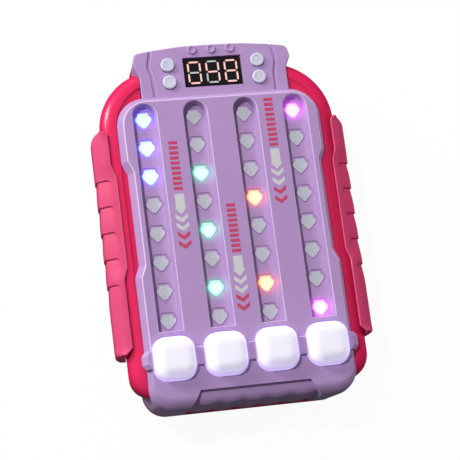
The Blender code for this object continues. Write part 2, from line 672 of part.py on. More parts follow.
def make_face_panel(material):
    """The lilac shell: lane panel, display head, key band and chin in one moulding."""
    bevel_share = PANEL_SKIN / PANEL_RISE
    panel = prism("face_panel", panel_outline(), [(PANEL_SEAT - OVERRUN, 0), (PANEL_SEAT, 0),
                                                  (PANEL_TOP, PANEL_BEVEL)], material)
    combine(panel, chin_block(0, CHIN_FOOT, CHIN_START_Y), "UNION")
    combine(panel, key_band(), "UNION")
    reach = BODY_HALF_WIDTH + OVERRUN
    under = [(-reach, BODY_FRONT_Y - SEAT_GAP, 0), (reach, BODY_FRONT_Y - SEAT_GAP, 0),
             (reach, BODY_TOP_Y, 0), (-reach, BODY_TOP_Y, 0)]
    combine(panel, prism("space_under_panel", under, [(-OVERRUN, 0), (PANEL_SEAT, 0)]))
    combine(panel, prism("head_block", head_outline(), [(HEAD_FOOT, HEAD_DRAFT), (HEAD_TOP, 0)]), "UNION")

    hollow_levels = [(TROUGH_FOOT - OVERRUN, PANEL_SKIN), (PANEL_SEAT, PANEL_SKIN),
                     (PANEL_CEILING, PANEL_SKIN + PANEL_BEVEL * bevel_share)]
    hollow = prism("panel_hollow", panel_outline(SLOT_FRONT_Y - TROUGH_WALL), hollow_levels)
    combine(panel, hollow)
    head_hollow = inset(head_outline(), HEAD_SKIN)
    head_hollow = [(x, y if y > WINDOW_Y else y - OVERRUN * 2, radius) for x, y, radius in head_hollow]
    combine(panel, prism("head_hollow", head_hollow, [(HEAD_FOOT - OVERRUN, HEAD_DRAFT), (HEAD_CEILING, 0)]))
    combine(panel, chin_block(CHIN_WALL, CHIN_FOOT - OVERRUN, KEY_Y))

    inside_skin = (PANEL_CEILING + PANEL_TOP) / 2
    combine(panel, solid("troughs", [prism_rings(slot_plan(lane, TROUGH_WALL), [
        (TROUGH_FOOT, 0), (inside_skin, 0)]) for lane in range(LANES)]), "UNION")
    for x, y in case_screw_places():
        top = HEAD_CEILING if y > PANEL_TOP_Y else PANEL_CEILING
        post = turned_rings(x, y, [(POST_DIAMETER / 2, POST_FOOT), (POST_DIAMETER / 2, top + PANEL_SKIN / 2)],
                            SMALL_SIDES)
        combine(panel, solid("post", [post]), "UNION")
    for x, y in board_screw_places():
        post = turned_rings(x, y, [(BOARD_POST_DIAMETER / 2, BOARD_TOP + SEAT_GAP),
                                   (BOARD_POST_DIAMETER / 2, PANEL_CEILING + PANEL_SKIN / 2)], SMALL_SIDES)
        combine(panel, solid("board_post", [post]), "UNION")

    pilot = SCREW_DIAMETER / 2 + SEAT_GAP
    board_pilot = BOARD_SCREW_DIAMETER / 2 + SEAT_GAP
    holes = [turned_rings(x, y, [(pilot, POST_FOOT - OVERRUN), (pilot, POST_FOOT + SCREW_BITE + OVERRUN)],
                          SCREW_SIDES) for x, y in case_screw_places()]
    holes += [turned_rings(x, y, [(board_pilot, BOARD_TOP - OVERRUN),
                                  (board_pilot, BOARD_TOP + BOARD_SCREW_BITE + SEAT_GAP * 2)], SCREW_SIDES)
              for x, y in board_screw_places()]
    holes += [turned_rings(x, y, [(BUTTON_DIAMETER / 2 + SEAT_GAP, HEAD_CEILING - OVERRUN),
                                  (BUTTON_DIAMETER / 2 + SEAT_GAP, HEAD_TOP + OVERRUN)])
              for x, y in button_places()]
    combine(panel, solid("round_holes", holes))
    draft = (SLOT_WIDTH - SLOT_FLOOR_WIDTH) / 2
    combine(panel, solid("slots", [prism_rings(slot_plan(lane), [
        (SLOT_FLOOR, draft), (PANEL_TOP, 0), (PANEL_TOP + OVERRUN, 0)]) for lane in range(LANES)]))
    gems = [prism_rings(gem_outline(lane, number, SEAT_GAP),
                        [(TROUGH_FOOT - OVERRUN, 0), (SLOT_FLOOR + OVERRUN, 0)])
            for lane in range(LANES) for number in range(LENSES_PER_LANE)]
    combine(panel, solid("gem_holes", gems))
    opening = KEY_WIDTH + 2 * SEAT_GAP
    pocket = KEY_WIDTH + 2 * KEY_FLANGE + 2 * SEAT_GAP
    combine(panel, solid("key_pockets", [prism_rings(key_outline(lane, pocket), [
        (TROUGH_FOOT - OVERRUN, 0), (KEY_CEILING, 0)], KEY_STEPS) for lane in range(LANES)]))
    combine(panel, solid("key_openings", [prism_rings(key_outline(lane, opening), [
        (KEY_CEILING - OVERRUN, 0), (BAND_TOP + OVERRUN, 0)], KEY_STEPS) for lane in range(LANES)]))
    combine(panel, recess_cutter())
    combine(panel, solid("grooves", [groove_rings(side) for side in (-1, 1)]))

    window = rectangle(0, WINDOW_Y, WINDOW_WIDTH, WINDOW_HEIGHT, WINDOW_RADIUS)
    over = OVERRUN / HEAD_SKIN
    window_levels = [(HEAD_CEILING - OVERRUN, WINDOW_BEVEL), (HEAD_CEILING, WINDOW_BEVEL),
                     (HEAD_TOP + OVERRUN, -WINDOW_BEVEL * over)]
    combine(panel, prism("window", window, window_levels))
    stud_profile = [(STUD_DIAMETER / 2, HEAD_TOP - HEAD_SKIN / 2),
                    (STUD_DIAMETER / 2 - STUD_HEIGHT / 4, HEAD_TOP + STUD_HEIGHT)]
    combine(panel, solid("studs", [turned_rings(at * STUD_PITCH, STUD_Y, stud_profile) for at in (-1, 0, 1)]),
            "UNION")
    dimples = [turned_rings(at * STUD_PITCH, STUD_Y, [
        (STUD_DIAMETER / 8, HEAD_TOP + STUD_HEIGHT - STUD_DIMPLE),
        (STUD_DIAMETER / 4, HEAD_TOP + STUD_HEIGHT + STUD_DIMPLE)], SCREW_SIDES) for at in (-1, 0, 1)]
    combine(panel, solid("dimples", dimples))
    return panel


def make_rim_frame(material):
    """Glossy crimson frame: round outer rim, a bed for the lilac panel and a wide opening."""
    foot = BACK_HEIGHT + SEAT_GAP
    levels = [(foot, body_inset(foot))]
    for step in range(ARC_STEPS + 1):
        turn = math.pi / 2 * step / ARC_STEPS
        levels.append((RIM_SPRING + RIM_ROUND * math.sin(turn), BED_INSET * (1 - math.cos(turn))))
    levels += [(BED_Z, BED_INSET + BED_DROP / 4), (BED_Z, BED_INSET + WALL)]
    frame = prism("rim_frame", body_outline(), levels, material, BODY_STEPS)
    under = BED_Z - BED_THICK
    combine(frame, prism("frame_hollow", body_outline(), [
        (BACK_HEIGHT - OVERRUN, WALL + body_inset(BACK_HEIGHT - OVERRUN)), (RIM_SPRING, WALL),
        (under, WALL + BED_THICK)], steps=BODY_STEPS))
    opening = panel_outline(BODY_FRONT_Y + WALL + BED_LEDGE, BOARD_RADIUS)
    combine(frame, prism("frame_opening", opening, [(BACK_HEIGHT, BED_LEDGE), (PANEL_TOP, BED_LEDGE)]))
    outline = head_outline()
    widest_y = max(outline)[1]
    head_space = [(x, y, radius) for x, y, radius in outline if x > 0 and y <= widest_y]
    head_space = mirrored(head_space + [(HEAD_HALF_WIDTH, HEAD_TOP_Y + OVERRUN, 0)])
    combine(frame, prism("head_space", inset(head_space, -SEAT_GAP), [(0, 0), (PANEL_TOP, 0)]))
    reach = PANEL_HALF_WIDTH + SEAT_GAP
    chin_seat = [(-reach, BODY_FRONT_Y - OVERRUN, 0), (reach, BODY_FRONT_Y - OVERRUN, 0),
                 (reach, CHIN_START_Y, 0), (-reach, CHIN_START_Y, 0)]
    return combine(frame, prism("chin_seat", chin_seat, [(BED_Z, 0), (PANEL_TOP, 0)]))


def make_rear_cover(material):
    """Crimson back: floor with rounded edge, lip, head tongue, chin foot, battery bay, grille and bosses."""
    levels = []
    for step in range(ARC_STEPS // 2 + 1):
        turn = math.pi / 2 * step / (ARC_STEPS // 2)
        levels.append((BACK_ROUND * (1 - math.cos(turn)),
                       BACK_ROUND * (1 - math.sin(turn)) + body_inset(BACK_ROUND)))
    levels.append((BACK_HEIGHT, body_inset(BACK_HEIGHT)))
    cover = prism("rear_cover", body_outline(), levels, material, BODY_STEPS)
    tongue = head_outline(TONGUE_START_Y)
    tongue_levels = [(TONGUE_BASE, TONGUE_BASE_INSET), (BACK_ROUND, HEAD_DRAFT + SEAT_GAP),
                     (HEAD_FOOT - SEAT_GAP, HEAD_DRAFT)]
    combine(cover, prism("tongue", tongue, tongue_levels), "UNION")
    combine(cover, prism("chin_foot", chin_outline(KEY_Y), [(0, WALL), (CHIN_FOOT / 2, CHIN_FOOT_DRAFT),
                                             (CHIN_FOOT - SEAT_GAP, CHIN_FOOT_DRAFT)]), "UNION")
    lip_inset = WALL + SEAT_GAP + body_inset(BACK_HEIGHT)
    combine(cover, prism("lip", body_outline(), [(BACK_HEIGHT - LIP_HEIGHT, lip_inset),
                                                 (BACK_HEIGHT + LIP_HEIGHT, lip_inset)]), "UNION")
    combine(cover, prism("cover_hollow", body_outline(), [
        (BACK_FLOOR, BACK_ROUND + WALL), (BACK_ROUND, lip_inset + LIP_THICK),
        (BACK_HEIGHT + LIP_HEIGHT + OVERRUN, lip_inset + LIP_THICK)]))
    combine(cover, prism("tongue_hollow", head_outline(TONGUE_START_Y - OVERRUN), [
        (BACK_ROUND + HEAD_SKIN, TONGUE_BASE_INSET), (HEAD_FOOT + OVERRUN, HEAD_DRAFT + HEAD_SKIN)]))

    bay_x = CELL_LENGTH + CELL_NUB + 2 * CELL_END_SPACE
    bay_y = CELLS * CELL_PITCH
    ceiling = DOOR_THICK + SEAT_GAP + CELL_DIAMETER + SEAT_GAP
    bay = rectangle(0, BAY_Y, bay_x + 2 * BAY_WALL, bay_y + 2 * BAY_WALL)
    combine(cover, prism("bay_walls", bay, [(BACK_FLOOR / 2, 0), (ceiling + BAY_WALL, 0)]), "UNION")
    boss_profile = [(BOSS_DIAMETER / 2, BACK_FLOOR / 2), (BOSS_DIAMETER / 2, POST_FOOT - SEAT_GAP)]
    bosses = [turned_rings(x, y, boss_profile, SMALL_SIDES) for x, y in case_screw_places()]
    combine(cover, solid("bosses", bosses), "UNION")
    ring = SPEAKER_DIAMETER / 2 + SEAT_GAP
    top = BACK_FLOOR + SPEAKER_RING_HEIGHT
    rim = ring + SPEAKER_RING_WALL
    combine(cover, solid("speaker_ring", [turned_rings(0, SPEAKER_Y, [
        (ring, BACK_FLOOR / 2), (rim, BACK_FLOOR / 2), (rim, top), (ring, top)])], ring_shaped=True), "UNION")
    door_screw_y = door_screw_place()
    cup = SCREW_HEAD_DIAMETER / 2 + SEAT_GAP + DOOR_CUP_WALL + SEAT_GAP
    combine(cover, solid("door_boss", [turned_rings(0, door_screw_y, [
        (cup + BAY_WALL, BACK_FLOOR / 2), (cup + BAY_WALL, DOOR_BOSS_HEIGHT)], SMALL_SIDES)]), "UNION")

    combine(cover, prism("bay_hollow", rectangle(0, BAY_Y, bay_x, bay_y), [(-OVERRUN, 0), (ceiling, 0)]))
    combine(cover, prism("door_recess", inset(door_outline(), -SEAT_GAP), [
        (-OVERRUN, 0), (DOOR_THICK + SEAT_GAP, 0)], steps=DOOR_STEPS))
    tail_x = bay_x / 2 - SEAT_GAP - CONTACT_THICK / 2
    tails = [rectangle(side * tail_x, y, CONTACT_THICK + 2 * SEAT_GAP, CONTACT_TAIL_WIDTH + 2 * SEAT_GAP)
             for side, y in ((-1, cell_y(0)), (1, cell_y(CELLS - 1)))]
    combine(cover, solid("tail_slots", [prism_rings(tail, [
        (ceiling - OVERRUN / 2, 0), (ceiling + BAY_WALL + OVERRUN, 0)]) for tail in tails]))
    head = SCREW_HEAD_DIAMETER / 2 + SEAT_GAP
    shank = SCREW_DIAMETER / 2 + SEAT_GAP
    holes = [turned_rings(x, y, [(head, -OVERRUN), (head, SCREW_SEAT), (shank, SCREW_SEAT),
                                 (shank, POST_FOOT + OVERRUN)], SCREW_SIDES) for x, y in case_screw_places()]
    cup_top = DOOR_SCREW_SEAT + DOOR_CUP_WALL + SEAT_GAP
    holes.append(turned_rings(0, door_screw_y, [(cup, -OVERRUN), (cup, cup_top), (shank, cup_top), (
        shank, DOOR_BOSS_HEIGHT - DOOR_CUP_WALL)], SMALL_SIDES))
    holes += [prism_rings(outline, [(-OVERRUN, 0), (BACK_FLOOR + OVERRUN, 0)], steps=2)
              for outline in grille_slots()]
    return combine(cover, solid("holes", holes))


def grille_slots():
    """Round-ended slots across the speaker, each as long as the circle of the cone allows."""
    reach = SPEAKER_DIAMETER / 2 - GRILLE_RING
    slots = []
    for number in range(GRILLE_SLOTS):
        along = (number - (GRILLE_SLOTS - 1) / 2) * GRILLE_PITCH
        length = 2 * math.sqrt(reach ** 2 - along ** 2)
        slots.append(rectangle(0, SPEAKER_Y + along, length, GRILLE_SLOT_WIDTH, GRILLE_SLOT_WIDTH / 2))
    return slots


# Lead bends: shares of its rise, sideways and up
LEAD_SHARES = ((0.0, 0.0), (0.12, 0.3), (0.45, 0.7), (0.55, 1.0))


def cell_y(number):
    """Cells lie across the case, the first nearest the display."""
    return BAY_Y + ((CELLS - 1) / 2 - number) * CELL_PITCH


def door_screw_place():
    return BAY_Y + CELLS * CELL_PITCH / 2 + DOOR_LEDGE + DOOR_TAB_LENGTH / 2


def door_outline():
    half_x = (CELL_LENGTH + CELL_NUB) / 2 + CELL_END_SPACE + DOOR_LEDGE
    half_y = CELLS * CELL_PITCH / 2 + DOOR_LEDGE
    top = BAY_Y + half_y
    return mirrored([(half_x, BAY_Y - half_y, DOOR_RADIUS), (half_x, top, DOOR_RADIUS),
                     (DOOR_TAB_HALF_WIDTH, top, DOOR_RADIUS / 2),
                     (DOOR_TAB_HALF_WIDTH, top + DOOR_TAB_LENGTH, DOOR_RADIUS)])


def make_battery_door(material):
    door = prism("battery_door", door_outline(), [(0, BAY_WALL / 4), (BAY_WALL / 4, 0), (DOOR_THICK, 0)],
                 material, DOOR_STEPS)
    shank = SCREW_DIAMETER / 2 + SEAT_GAP
    head = SCREW_HEAD_DIAMETER / 2 + SEAT_GAP
    cup = head + DOOR_CUP_WALL
    cup_top = DOOR_SCREW_SEAT + DOOR_CUP_WALL
    combine(door, solid("screw_cup", [turned_rings(0, door_screw_place(), [
        (cup, DOOR_THICK / 2), (cup, cup_top)], SMALL_SIDES)]), "UNION")
    hole = turned_rings(0, door_screw_place(), [(head, -OVERRUN), (head, DOOR_SCREW_SEAT), (
        shank, DOOR_SCREW_SEAT), (shank, cup_top + OVERRUN)], SMALL_SIDES)
    combine(door, solid("screw_hole", [hole]))
    grooves = [prism_rings(rectangle(0, BAY_Y - number * THUMB_PITCH, THUMB_LENGTH, THUMB_WIDTH),
                           [(-OVERRUN, 0), (THUMB_DEPTH, 0)]) for number in range(THUMB_GROOVES)]
    return combine(door, solid("thumb_grooves", grooves))


def make_screw(name, x, y, head_z, diameter, head_diameter, head_height, length, material):
    """A pan-head screw that points up, its head's seat at head_z."""
    radius = diameter / 2
    head = head_diameter / 2
    profile = [(head * 3 / 4, head_z - head_height), (head, head_z - SEAT_GAP), (radius, head_z - SEAT_GAP),
               (radius * 3 / 4, head_z + length)]
    return solid(name, [turned_rings(x, y, profile, SCREW_SIDES)], material)


def make_screws(material):
    screws = []
    length = POST_FOOT + SCREW_BITE - SCREW_SEAT
    for number, (x, y) in enumerate(case_screw_places(), 1):
        screws.append(make_screw(f"case_screw_{number}", x, y, SCREW_SEAT, SCREW_DIAMETER,
                                 SCREW_HEAD_DIAMETER, SCREW_HEAD_HEIGHT, length, material))
    for number, (x, y) in enumerate(board_screw_places(), 1):
        screws.append(make_screw(f"board_screw_{number}", x, y, BOARD_FOOT, BOARD_SCREW_DIAMETER,
                                 BOARD_SCREW_HEAD_DIAMETER, SCREW_HEAD_HEIGHT, BOARD_THICK + BOARD_SCREW_BITE,
                                 material))
    length = DOOR_BOSS_HEIGHT - SCREW_DIAMETER - DOOR_SCREW_SEAT
    screws.append(make_screw("battery_door_screw", 0, door_screw_place(), DOOR_SCREW_SEAT, SCREW_DIAMETER,
                             SCREW_HEAD_DIAMETER, SCREW_HEAD_HEIGHT, length, material))
    return screws


# Stations in each end of the grip, shares of the end's length
GRIP_END_SHARES = (0.0, 0.12, 0.3, 0.6, 1.0)

# Outside arc of the grip from its crest down to its widest line: shares of the turn, and of a rib's cut
GRIP_ARC_SHARES = ((1.0, 0.0), (0.84, 0.1), (0.6, 0.8), (0.32, 1.0), (0.0, 1.0))


def grip_inner_edge(y):
    """How far in the grip's top edge reaches: it follows the panel's waist at an even channel."""
    narrow = PANEL_HALF_WIDTH - PANEL_WAIST * 3 / 4
    wide = PANEL_HALF_WIDTH
    if y >= WAIST_TOP_Y or y <= WAIST_FRONT_Y:
        reach = wide
    elif y > WAIST_TOP_Y - WAIST_RAMP:
        reach = narrow + (wide - narrow) * (y - WAIST_TOP_Y + WAIST_RAMP) / WAIST_RAMP
    elif y < WAIST_FRONT_Y + WAIST_RAMP:
        reach = narrow + (wide - narrow) * (WAIST_FRONT_Y + WAIST_RAMP - y) / WAIST_RAMP
    else:
        reach = narrow
    return reach + GRIP_CHANNEL


def rib_cut(y):
    """Saw-tooth ribs: each rib stands proud at its lower end and starts recessed below the last one."""
    below = RIB_TOP_Y - y
    if below < 0 or below >= RIBS * RIB_PITCH:
        return 0
    return RIB_DEPTH * (1 - (below % RIB_PITCH) / RIB_PITCH)


def grip_section(y):
    """Cross-section of the right grip: inside over the frame's round side, outside a fuller round."""
    centre_x = BODY_HALF_WIDTH - BED_INSET
    inner_x = BED_INSET + SEAT_GAP
    inner_z = RIM_ROUND + SEAT_GAP
    to_end = min(GRIP_TOP_Y - y, y - GRIP_FRONT_Y) / GRIP_END_LENGTH
    fullness = 1 - (1 - min(to_end, 1)) ** GRIP_END_POWER
    bulge = GRIP_END_THICK + (GRIP_BULGE - GRIP_END_THICK) * fullness
    edge = grip_inner_edge(y) + (1 - min(to_end * GRIP_END_POWER, 1)) * (GRIP_BULGE - GRIP_END_THICK)
    edge_turn = math.acos(min((edge - centre_x) / inner_x, 1))
    cut = rib_cut(y)
    foot = BACK_HEIGHT + 2 * SEAT_GAP
    section = [(centre_x + inner_x - body_inset(foot), foot), (centre_x + inner_x, RIM_SPRING)]
    for step in range(1, GRIP_INNER_STEPS + 1):
        turn = edge_turn * step / GRIP_INNER_STEPS
        section.append((centre_x + inner_x * math.cos(turn), RIM_SPRING + inner_z * math.sin(turn)))
    widest_z = RIM_SPRING - GRIP_WIDEST_DROP
    outer_x = inner_x + bulge - SEAT_GAP
    outer_z = min(RIM_HEIGHT + GRIP_EDGE_RISE, section[-1][1] + bulge) - widest_z
    top_turn = math.acos((section[-1][0] - centre_x) / outer_x)
    for share, cut_share in GRIP_ARC_SHARES:
        turn = top_turn * share
        section.append((centre_x + (outer_x - cut * cut_share) * math.cos(turn),
                        widest_z + (outer_z - cut * cut_share) * math.sin(turn)))
    side = centre_x + outer_x - cut - GRIP_DRAFT * fullness
    section.append((side, foot + GRIP_BOTTOM_CHAMFER))
    section.append((side - GRIP_BOTTOM_CHAMFER * fullness, foot))
    return section


def grip_stations():
    ends = [GRIP_END_LENGTH * share for share in GRIP_END_SHARES]
    places = [GRIP_FRONT_Y + end for end in ends] + [GRIP_TOP_Y - end for end in ends]
    places += [WAIST_TOP_Y, WAIST_TOP_Y - WAIST_RAMP, WAIST_FRONT_Y, WAIST_FRONT_Y + WAIST_RAMP]
    for rib in range(RIBS):
        top = RIB_TOP_Y - rib * RIB_PITCH
        places += [top + RIB_STEP / 2, top - RIB_STEP / 2]
    places.append(RIB_TOP_Y - RIBS * RIB_PITCH)
    return sorted(places)


def make_grip(name, side, material):
    """A soft side grip, swept along the case through its rib stations."""
    rings = []
    for y in grip_stations():
        rings.append([(side * x, y, z) for x, z in grip_section(y)])
    return solid(name, [rings], material)


def make_lens_strip(lane, material):
    """A clouded light strip with eight gem lenses that stand up through the slot floor."""
    x = lane_x(lane)
    length = (LENSES_PER_LANE - 1) * LENS_PITCH + LENS_PLATE_WIDTH
    strip = prism(f"lens_strip_{lane + 1}", rectangle(x, 0, LENS_PLATE_WIDTH, length),
                  [(LENS_PLATE_FOOT, 0), (LENS_PLATE_TOP, 0)], material)
    top = SLOT_FLOOR + LENS_PROUD
    gems = [prism_rings(gem_outline(lane, number), [
        ((LENS_PLATE_FOOT + LENS_PLATE_TOP) / 2, 0), (top, LENS_CHAMFER)])
        for number in range(LENSES_PER_LANE)]
    return combine(strip, solid("gems", gems), "UNION")


def segment_bars():
    """Outlines of the seven-segment bars of all digits, as hexagons."""
    tall = (DIGIT_HEIGHT - SEGMENT_WIDTH) / 2
    wide = DIGIT_WIDTH - SEGMENT_WIDTH
    half = SEGMENT_WIDTH / 2
    bars = []
    for digit in range(DIGITS):
        x = (digit - (DIGITS - 1) / 2) * DIGIT_PITCH
        places = [(0, level * tall, 0) for level in (-1, 0, 1)]
        places += [(side * wide / 2, level * tall / 2, 1) for side in (-1, 1) for level in (-1, 1)]
        for across, along, upright in places:
            reach = ((tall if upright else wide) - SEGMENT_BREAK) / 2
            points = [(-reach, 0), (half - reach, -half), (reach - half, -half), (reach, 0),
                      (reach - half, half), (half - reach, half)]
            if upright:
                points = [(-b, a) for a, b in points]
            bars.append([(x + across + a, WINDOW_Y + along + b, 0) for a, b in points])
    return bars


def display_levels():
    face = HEAD_TOP - DISPLAY_SINK
    shoulder = HEAD_CEILING - SEAT_GAP
    return face, shoulder, BOARD_TOP + SEAT_GAP


def make_display(black, light):
    """A black cap with 21 windows over one clouded light plate with 21 bars."""
    face, shoulder, foot = display_levels()
    width = WINDOW_WIDTH - 2 * WINDOW_BEVEL
    height = WINDOW_HEIGHT - 2 * WINDOW_BEVEL
    nose = rectangle(0, WINDOW_Y, width - 2 * SEAT_GAP, height - 2 * SEAT_GAP)
    body = inset(nose, -DISPLAY_MARGIN)
    case = prism("display_case", body, [(foot, 0), (shoulder, 0)], black)
    combine(case, prism("nose", nose, [(foot + DISPLAY_WALL, 0), (face, 0)]), "UNION")
    combine(case, prism("case_hollow", nose, [(foot - OVERRUN, DISPLAY_WALL / 2),
                                              (face - DISPLAY_SKIN, DISPLAY_WALL / 2)]))
    bars = segment_bars()
    combine(case, solid("bar_windows", [prism_rings(inset(bar, -SEGMENT_GAP), [
        (face - DISPLAY_SKIN - OVERRUN / 2, 0), (face + OVERRUN, 0)]) for bar in bars]))
    plate = inset(nose, DISPLAY_WALL / 2 + SEAT_GAP)
    plate_top = face - DISPLAY_SKIN - SEAT_GAP
    digits = prism("display_digits", plate, [(plate_top - DIGIT_PLATE, 0), (plate_top, 0)], light)
    combine(digits, solid("bars", [prism_rings(bar, [(plate_top - DIGIT_PLATE / 2, 0), (face, 0)])
                                   for bar in bars]), "UNION")
    return [case, digits]


def make_round_buttons(material):
    buttons = []
    radius = BUTTON_DIAMETER / 2
    flange = radius + SEAT_GAP + BUTTON_FLANGE
    top = HEAD_TOP + BUTTON_PROUD
    shelf = HEAD_CEILING - SEAT_GAP
    switch_top = BOARD_TOP + SWITCH_BODY
    foot = switch_top + BUTTON_TRAVEL + SEAT_GAP / 2
    stem = BUTTON_STEM_DIAMETER / 2
    for number, (x, y) in enumerate(button_places(), 1):
        profile = [(stem, foot), (stem, shelf - BUTTON_FLANGE_THICK), (flange, shelf - BUTTON_FLANGE_THICK),
                   (flange, shelf), (radius, shelf), (radius, top - BUTTON_ROUND),
                   (radius - BUTTON_ROUND, top)]
        button = solid(f"round_button_{number}", [turned_rings(x, y, profile)], material)
        move_origin(button, x, y, top)
        buttons.append(button)
    return buttons


def make_keys(material):
    """Hollow translucent caps: pillow top, tapered sides, a flange under the panel and a post."""
    keys = []
    for lane in range(LANES):
        x = lane_x(lane)
        plan = key_outline(lane, KEY_WIDTH)
        flange = -KEY_FLANGE
        flange_top = KEY_FOOT + KEY_FLANGE_THICK
        levels = [(KEY_FOOT, flange), (flange_top, flange), (flange_top, 0), (PANEL_TOP, 0)]
        shoulder = KEY_TOP - KEY_CROWN
        for step in range(1, KEY_STEPS + 1):
            turn = math.pi / 2 * step / KEY_STEPS
            z = PANEL_TOP + (shoulder - PANEL_TOP) * math.sin(turn)
            levels.append((z, KEY_TAPER * (1 - math.cos(turn) + step / KEY_STEPS)))
        levels.append((KEY_TOP, KEY_WIDTH / 3))
        cap = prism(f"key_cap_{lane + 1}", plan, levels, material, KEY_STEPS)
        ceiling = shoulder - KEY_SKIN
        hollow_levels = [(KEY_FOOT - OVERRUN, KEY_SKIN), (PANEL_TOP, KEY_SKIN),
                         (ceiling, KEY_SKIN + KEY_TAPER)]
        combine(cap, prism("cap_hollow", plan, hollow_levels, steps=2))
        post = [(KEY_POST_DIAMETER / 2, KEY_FOOT + SEAT_GAP), (KEY_POST_DIAMETER / 2, ceiling + KEY_SKIN / 2)]
        combine(cap, solid("cap_post", [turned_rings(x, KEY_Y, post, SMALL_SIDES)]), "UNION")
        move_origin(cap, x, KEY_Y, KEY_TOP)
        keys.append(cap)
    return keys


def make_boots(material):
    """Silicone return domes: thin cones that stand round each tact switch."""
    boots = []
    base = BOOT_BASE_DIAMETER / 2
    tip = BOOT_TOP_DIAMETER / 2
    foot = BOARD_TOP + SEAT_GAP
    top = KEY_FOOT
    ledge = foot + BOOT_SKIN
    for lane in range(LANES):
        profile = [(base, foot), (base, ledge), (tip, top - BOOT_TOP_SKIN), (tip - BOOT_SKIN / 2, top)]
        boot = solid(f"key_boot_{lane + 1}", [turned_rings(lane_x(lane), KEY_Y, profile, BOOT_SIDES)],
                     material)
        hollow = [(base - BOOT_SKIN, foot - OVERRUN), (base - BOOT_SKIN, foot),
                  (tip - BOOT_SKIN, top - BOOT_TOP_SKIN)]
        combine(boot, solid("dome", [turned_rings(lane_x(lane), KEY_Y, hollow, BOOT_SIDES)]))
        boots.append(boot)
    return boots


def make_board(material):
    """Green board with its neck under the display; the switches and the chip are soldered on."""
    outline = mirrored([(BOARD_HALF_WIDTH, BOARD_FRONT_Y, BOARD_RADIUS),
                        (BOARD_HALF_WIDTH, BOARD_TOP_Y, BOARD_RADIUS),
                        (BOARD_NECK_HALF_WIDTH, BOARD_TOP_Y, 0), (BOARD_NECK_HALF_WIDTH, BOARD_NECK_TOP_Y, 0)])
    board = prism("main_board", outline, [(BOARD_FOOT, 0), (BOARD_TOP, 0)], material, steps=2)
    sunk = BOARD_TOP - BOARD_THICK / 2
    parts = [prism_rings(rectangle(x, y, SMALL_SWITCH_WIDTH, SMALL_SWITCH_WIDTH),
                         [(sunk, 0), (BOARD_TOP + SWITCH_BODY, 0)]) for x, y in button_places()]
    parts += [prism_rings(rectangle(lane_x(lane), KEY_Y, SWITCH_WIDTH, SWITCH_WIDTH),
                          [(sunk, 0), (BOARD_TOP + SWITCH_BODY, 0)]) for lane in range(LANES)]
    combine(board, solid("soldered_parts", parts), "UNION")
    tips = [turned_rings(lane_x(lane), KEY_Y, [
        (SWITCH_BUTTON_DIAMETER / 2, BOARD_TOP + SWITCH_BODY / 2),
        (SWITCH_BUTTON_DIAMETER / 2, BOARD_TOP + SWITCH_BODY + SWITCH_BUTTON)], SMALL_SIDES)
        for lane in range(LANES)]
    combine(board, solid("switch_tips", tips), "UNION")
    chip = rectangle(0, CHIP_Y, CHIP_WIDTH, CHIP_WIDTH)
    combine(board, prism("chip", chip, [(BOARD_FOOT - CHIP_HEIGHT, 0),
                                        (BOARD_FOOT + BOARD_THICK / 2, 0)]), "UNION")
    hole = BOARD_SCREW_DIAMETER / 2 + SEAT_GAP
    holes = [turned_rings(x, y, [(hole, BOARD_FOOT - OVERRUN), (hole, BOARD_TOP + OVERRUN)], SMALL_SIDES)
             for x, y in board_screw_places()]
    return combine(board, solid("board_holes", holes))


def make_speaker(steel, paper):
    """Basket with its flange on the grille side, paper cone inside and magnet on the back."""
    foot = BACK_FLOOR + SEAT_GAP
    top = foot + SPEAKER_DEPTH
    outside = SPEAKER_DIAMETER / 2
    back = SPEAKER_BACK_DIAMETER / 2
    bore = SPEAKER_BORE_DIAMETER / 2
    basket = [(outside, foot), (outside, foot + SPEAKER_RIM), (back, top), (bore, top),
              (bore, top - SPEAKER_SKIN), (back - SPEAKER_SKIN, top - SPEAKER_SKIN),
              (outside - 2 * SPEAKER_SKIN, foot + SPEAKER_RIM), (outside - 2 * SPEAKER_SKIN, foot)]
    rings = turned_rings(0, SPEAKER_Y, basket)
    parts = [solid("speaker_basket", [rings], steel, ring_shaped=True)]
    edge = outside - 2 * SPEAKER_SKIN - SEAT_GAP
    rise = SPEAKER_DEPTH / 2
    cone = [(bore, foot + rise - SPEAKER_SKIN), (2 * bore, foot + rise), (edge, foot + SEAT_GAP),
            (edge, foot + SEAT_GAP + SPEAKER_SKIN / 2), (2 * bore, foot + rise + SPEAKER_SKIN / 2),
            (bore, foot + rise + SPEAKER_SKIN / 2)]
    parts.append(solid("speaker_cone", [turned_rings(0, SPEAKER_Y, cone)], paper))
    magnet = MAGNET_DIAMETER / 2
    seat = top + SEAT_GAP
    parts.append(solid("speaker_magnet", [turned_rings(0, SPEAKER_Y, [
        (magnet, seat), (magnet, seat + MAGNET_HEIGHT)])], steel))
    return parts


def make_cells(material):
    """Three AAA cells that lie across the case, turned end for end."""
    cells = []
    z = DOOR_THICK + SEAT_GAP + CELL_DIAMETER / 2
    radius = CELL_DIAMETER / 2
    nub = CELL_NUB_DIAMETER / 2
    half = (CELL_LENGTH + CELL_NUB) / 2
    for number in range(CELLS):
        way = -1 if number % 2 == 0 else 1
        profile = [(radius, -half), (radius, half - CELL_NUB), (nub, half - CELL_NUB), (nub, half)]
        rings = []
        for size, along in profile:
            turns = [math.tau * at / SMALL_SIDES for at in range(SMALL_SIDES)]
            rings.append([(way * along, cell_y(number) + size * math.cos(turn), z + size * math.sin(turn))
                          for turn in turns])
        cells.append(solid(f"battery_{number + 1}", [rings], material))
    return cells


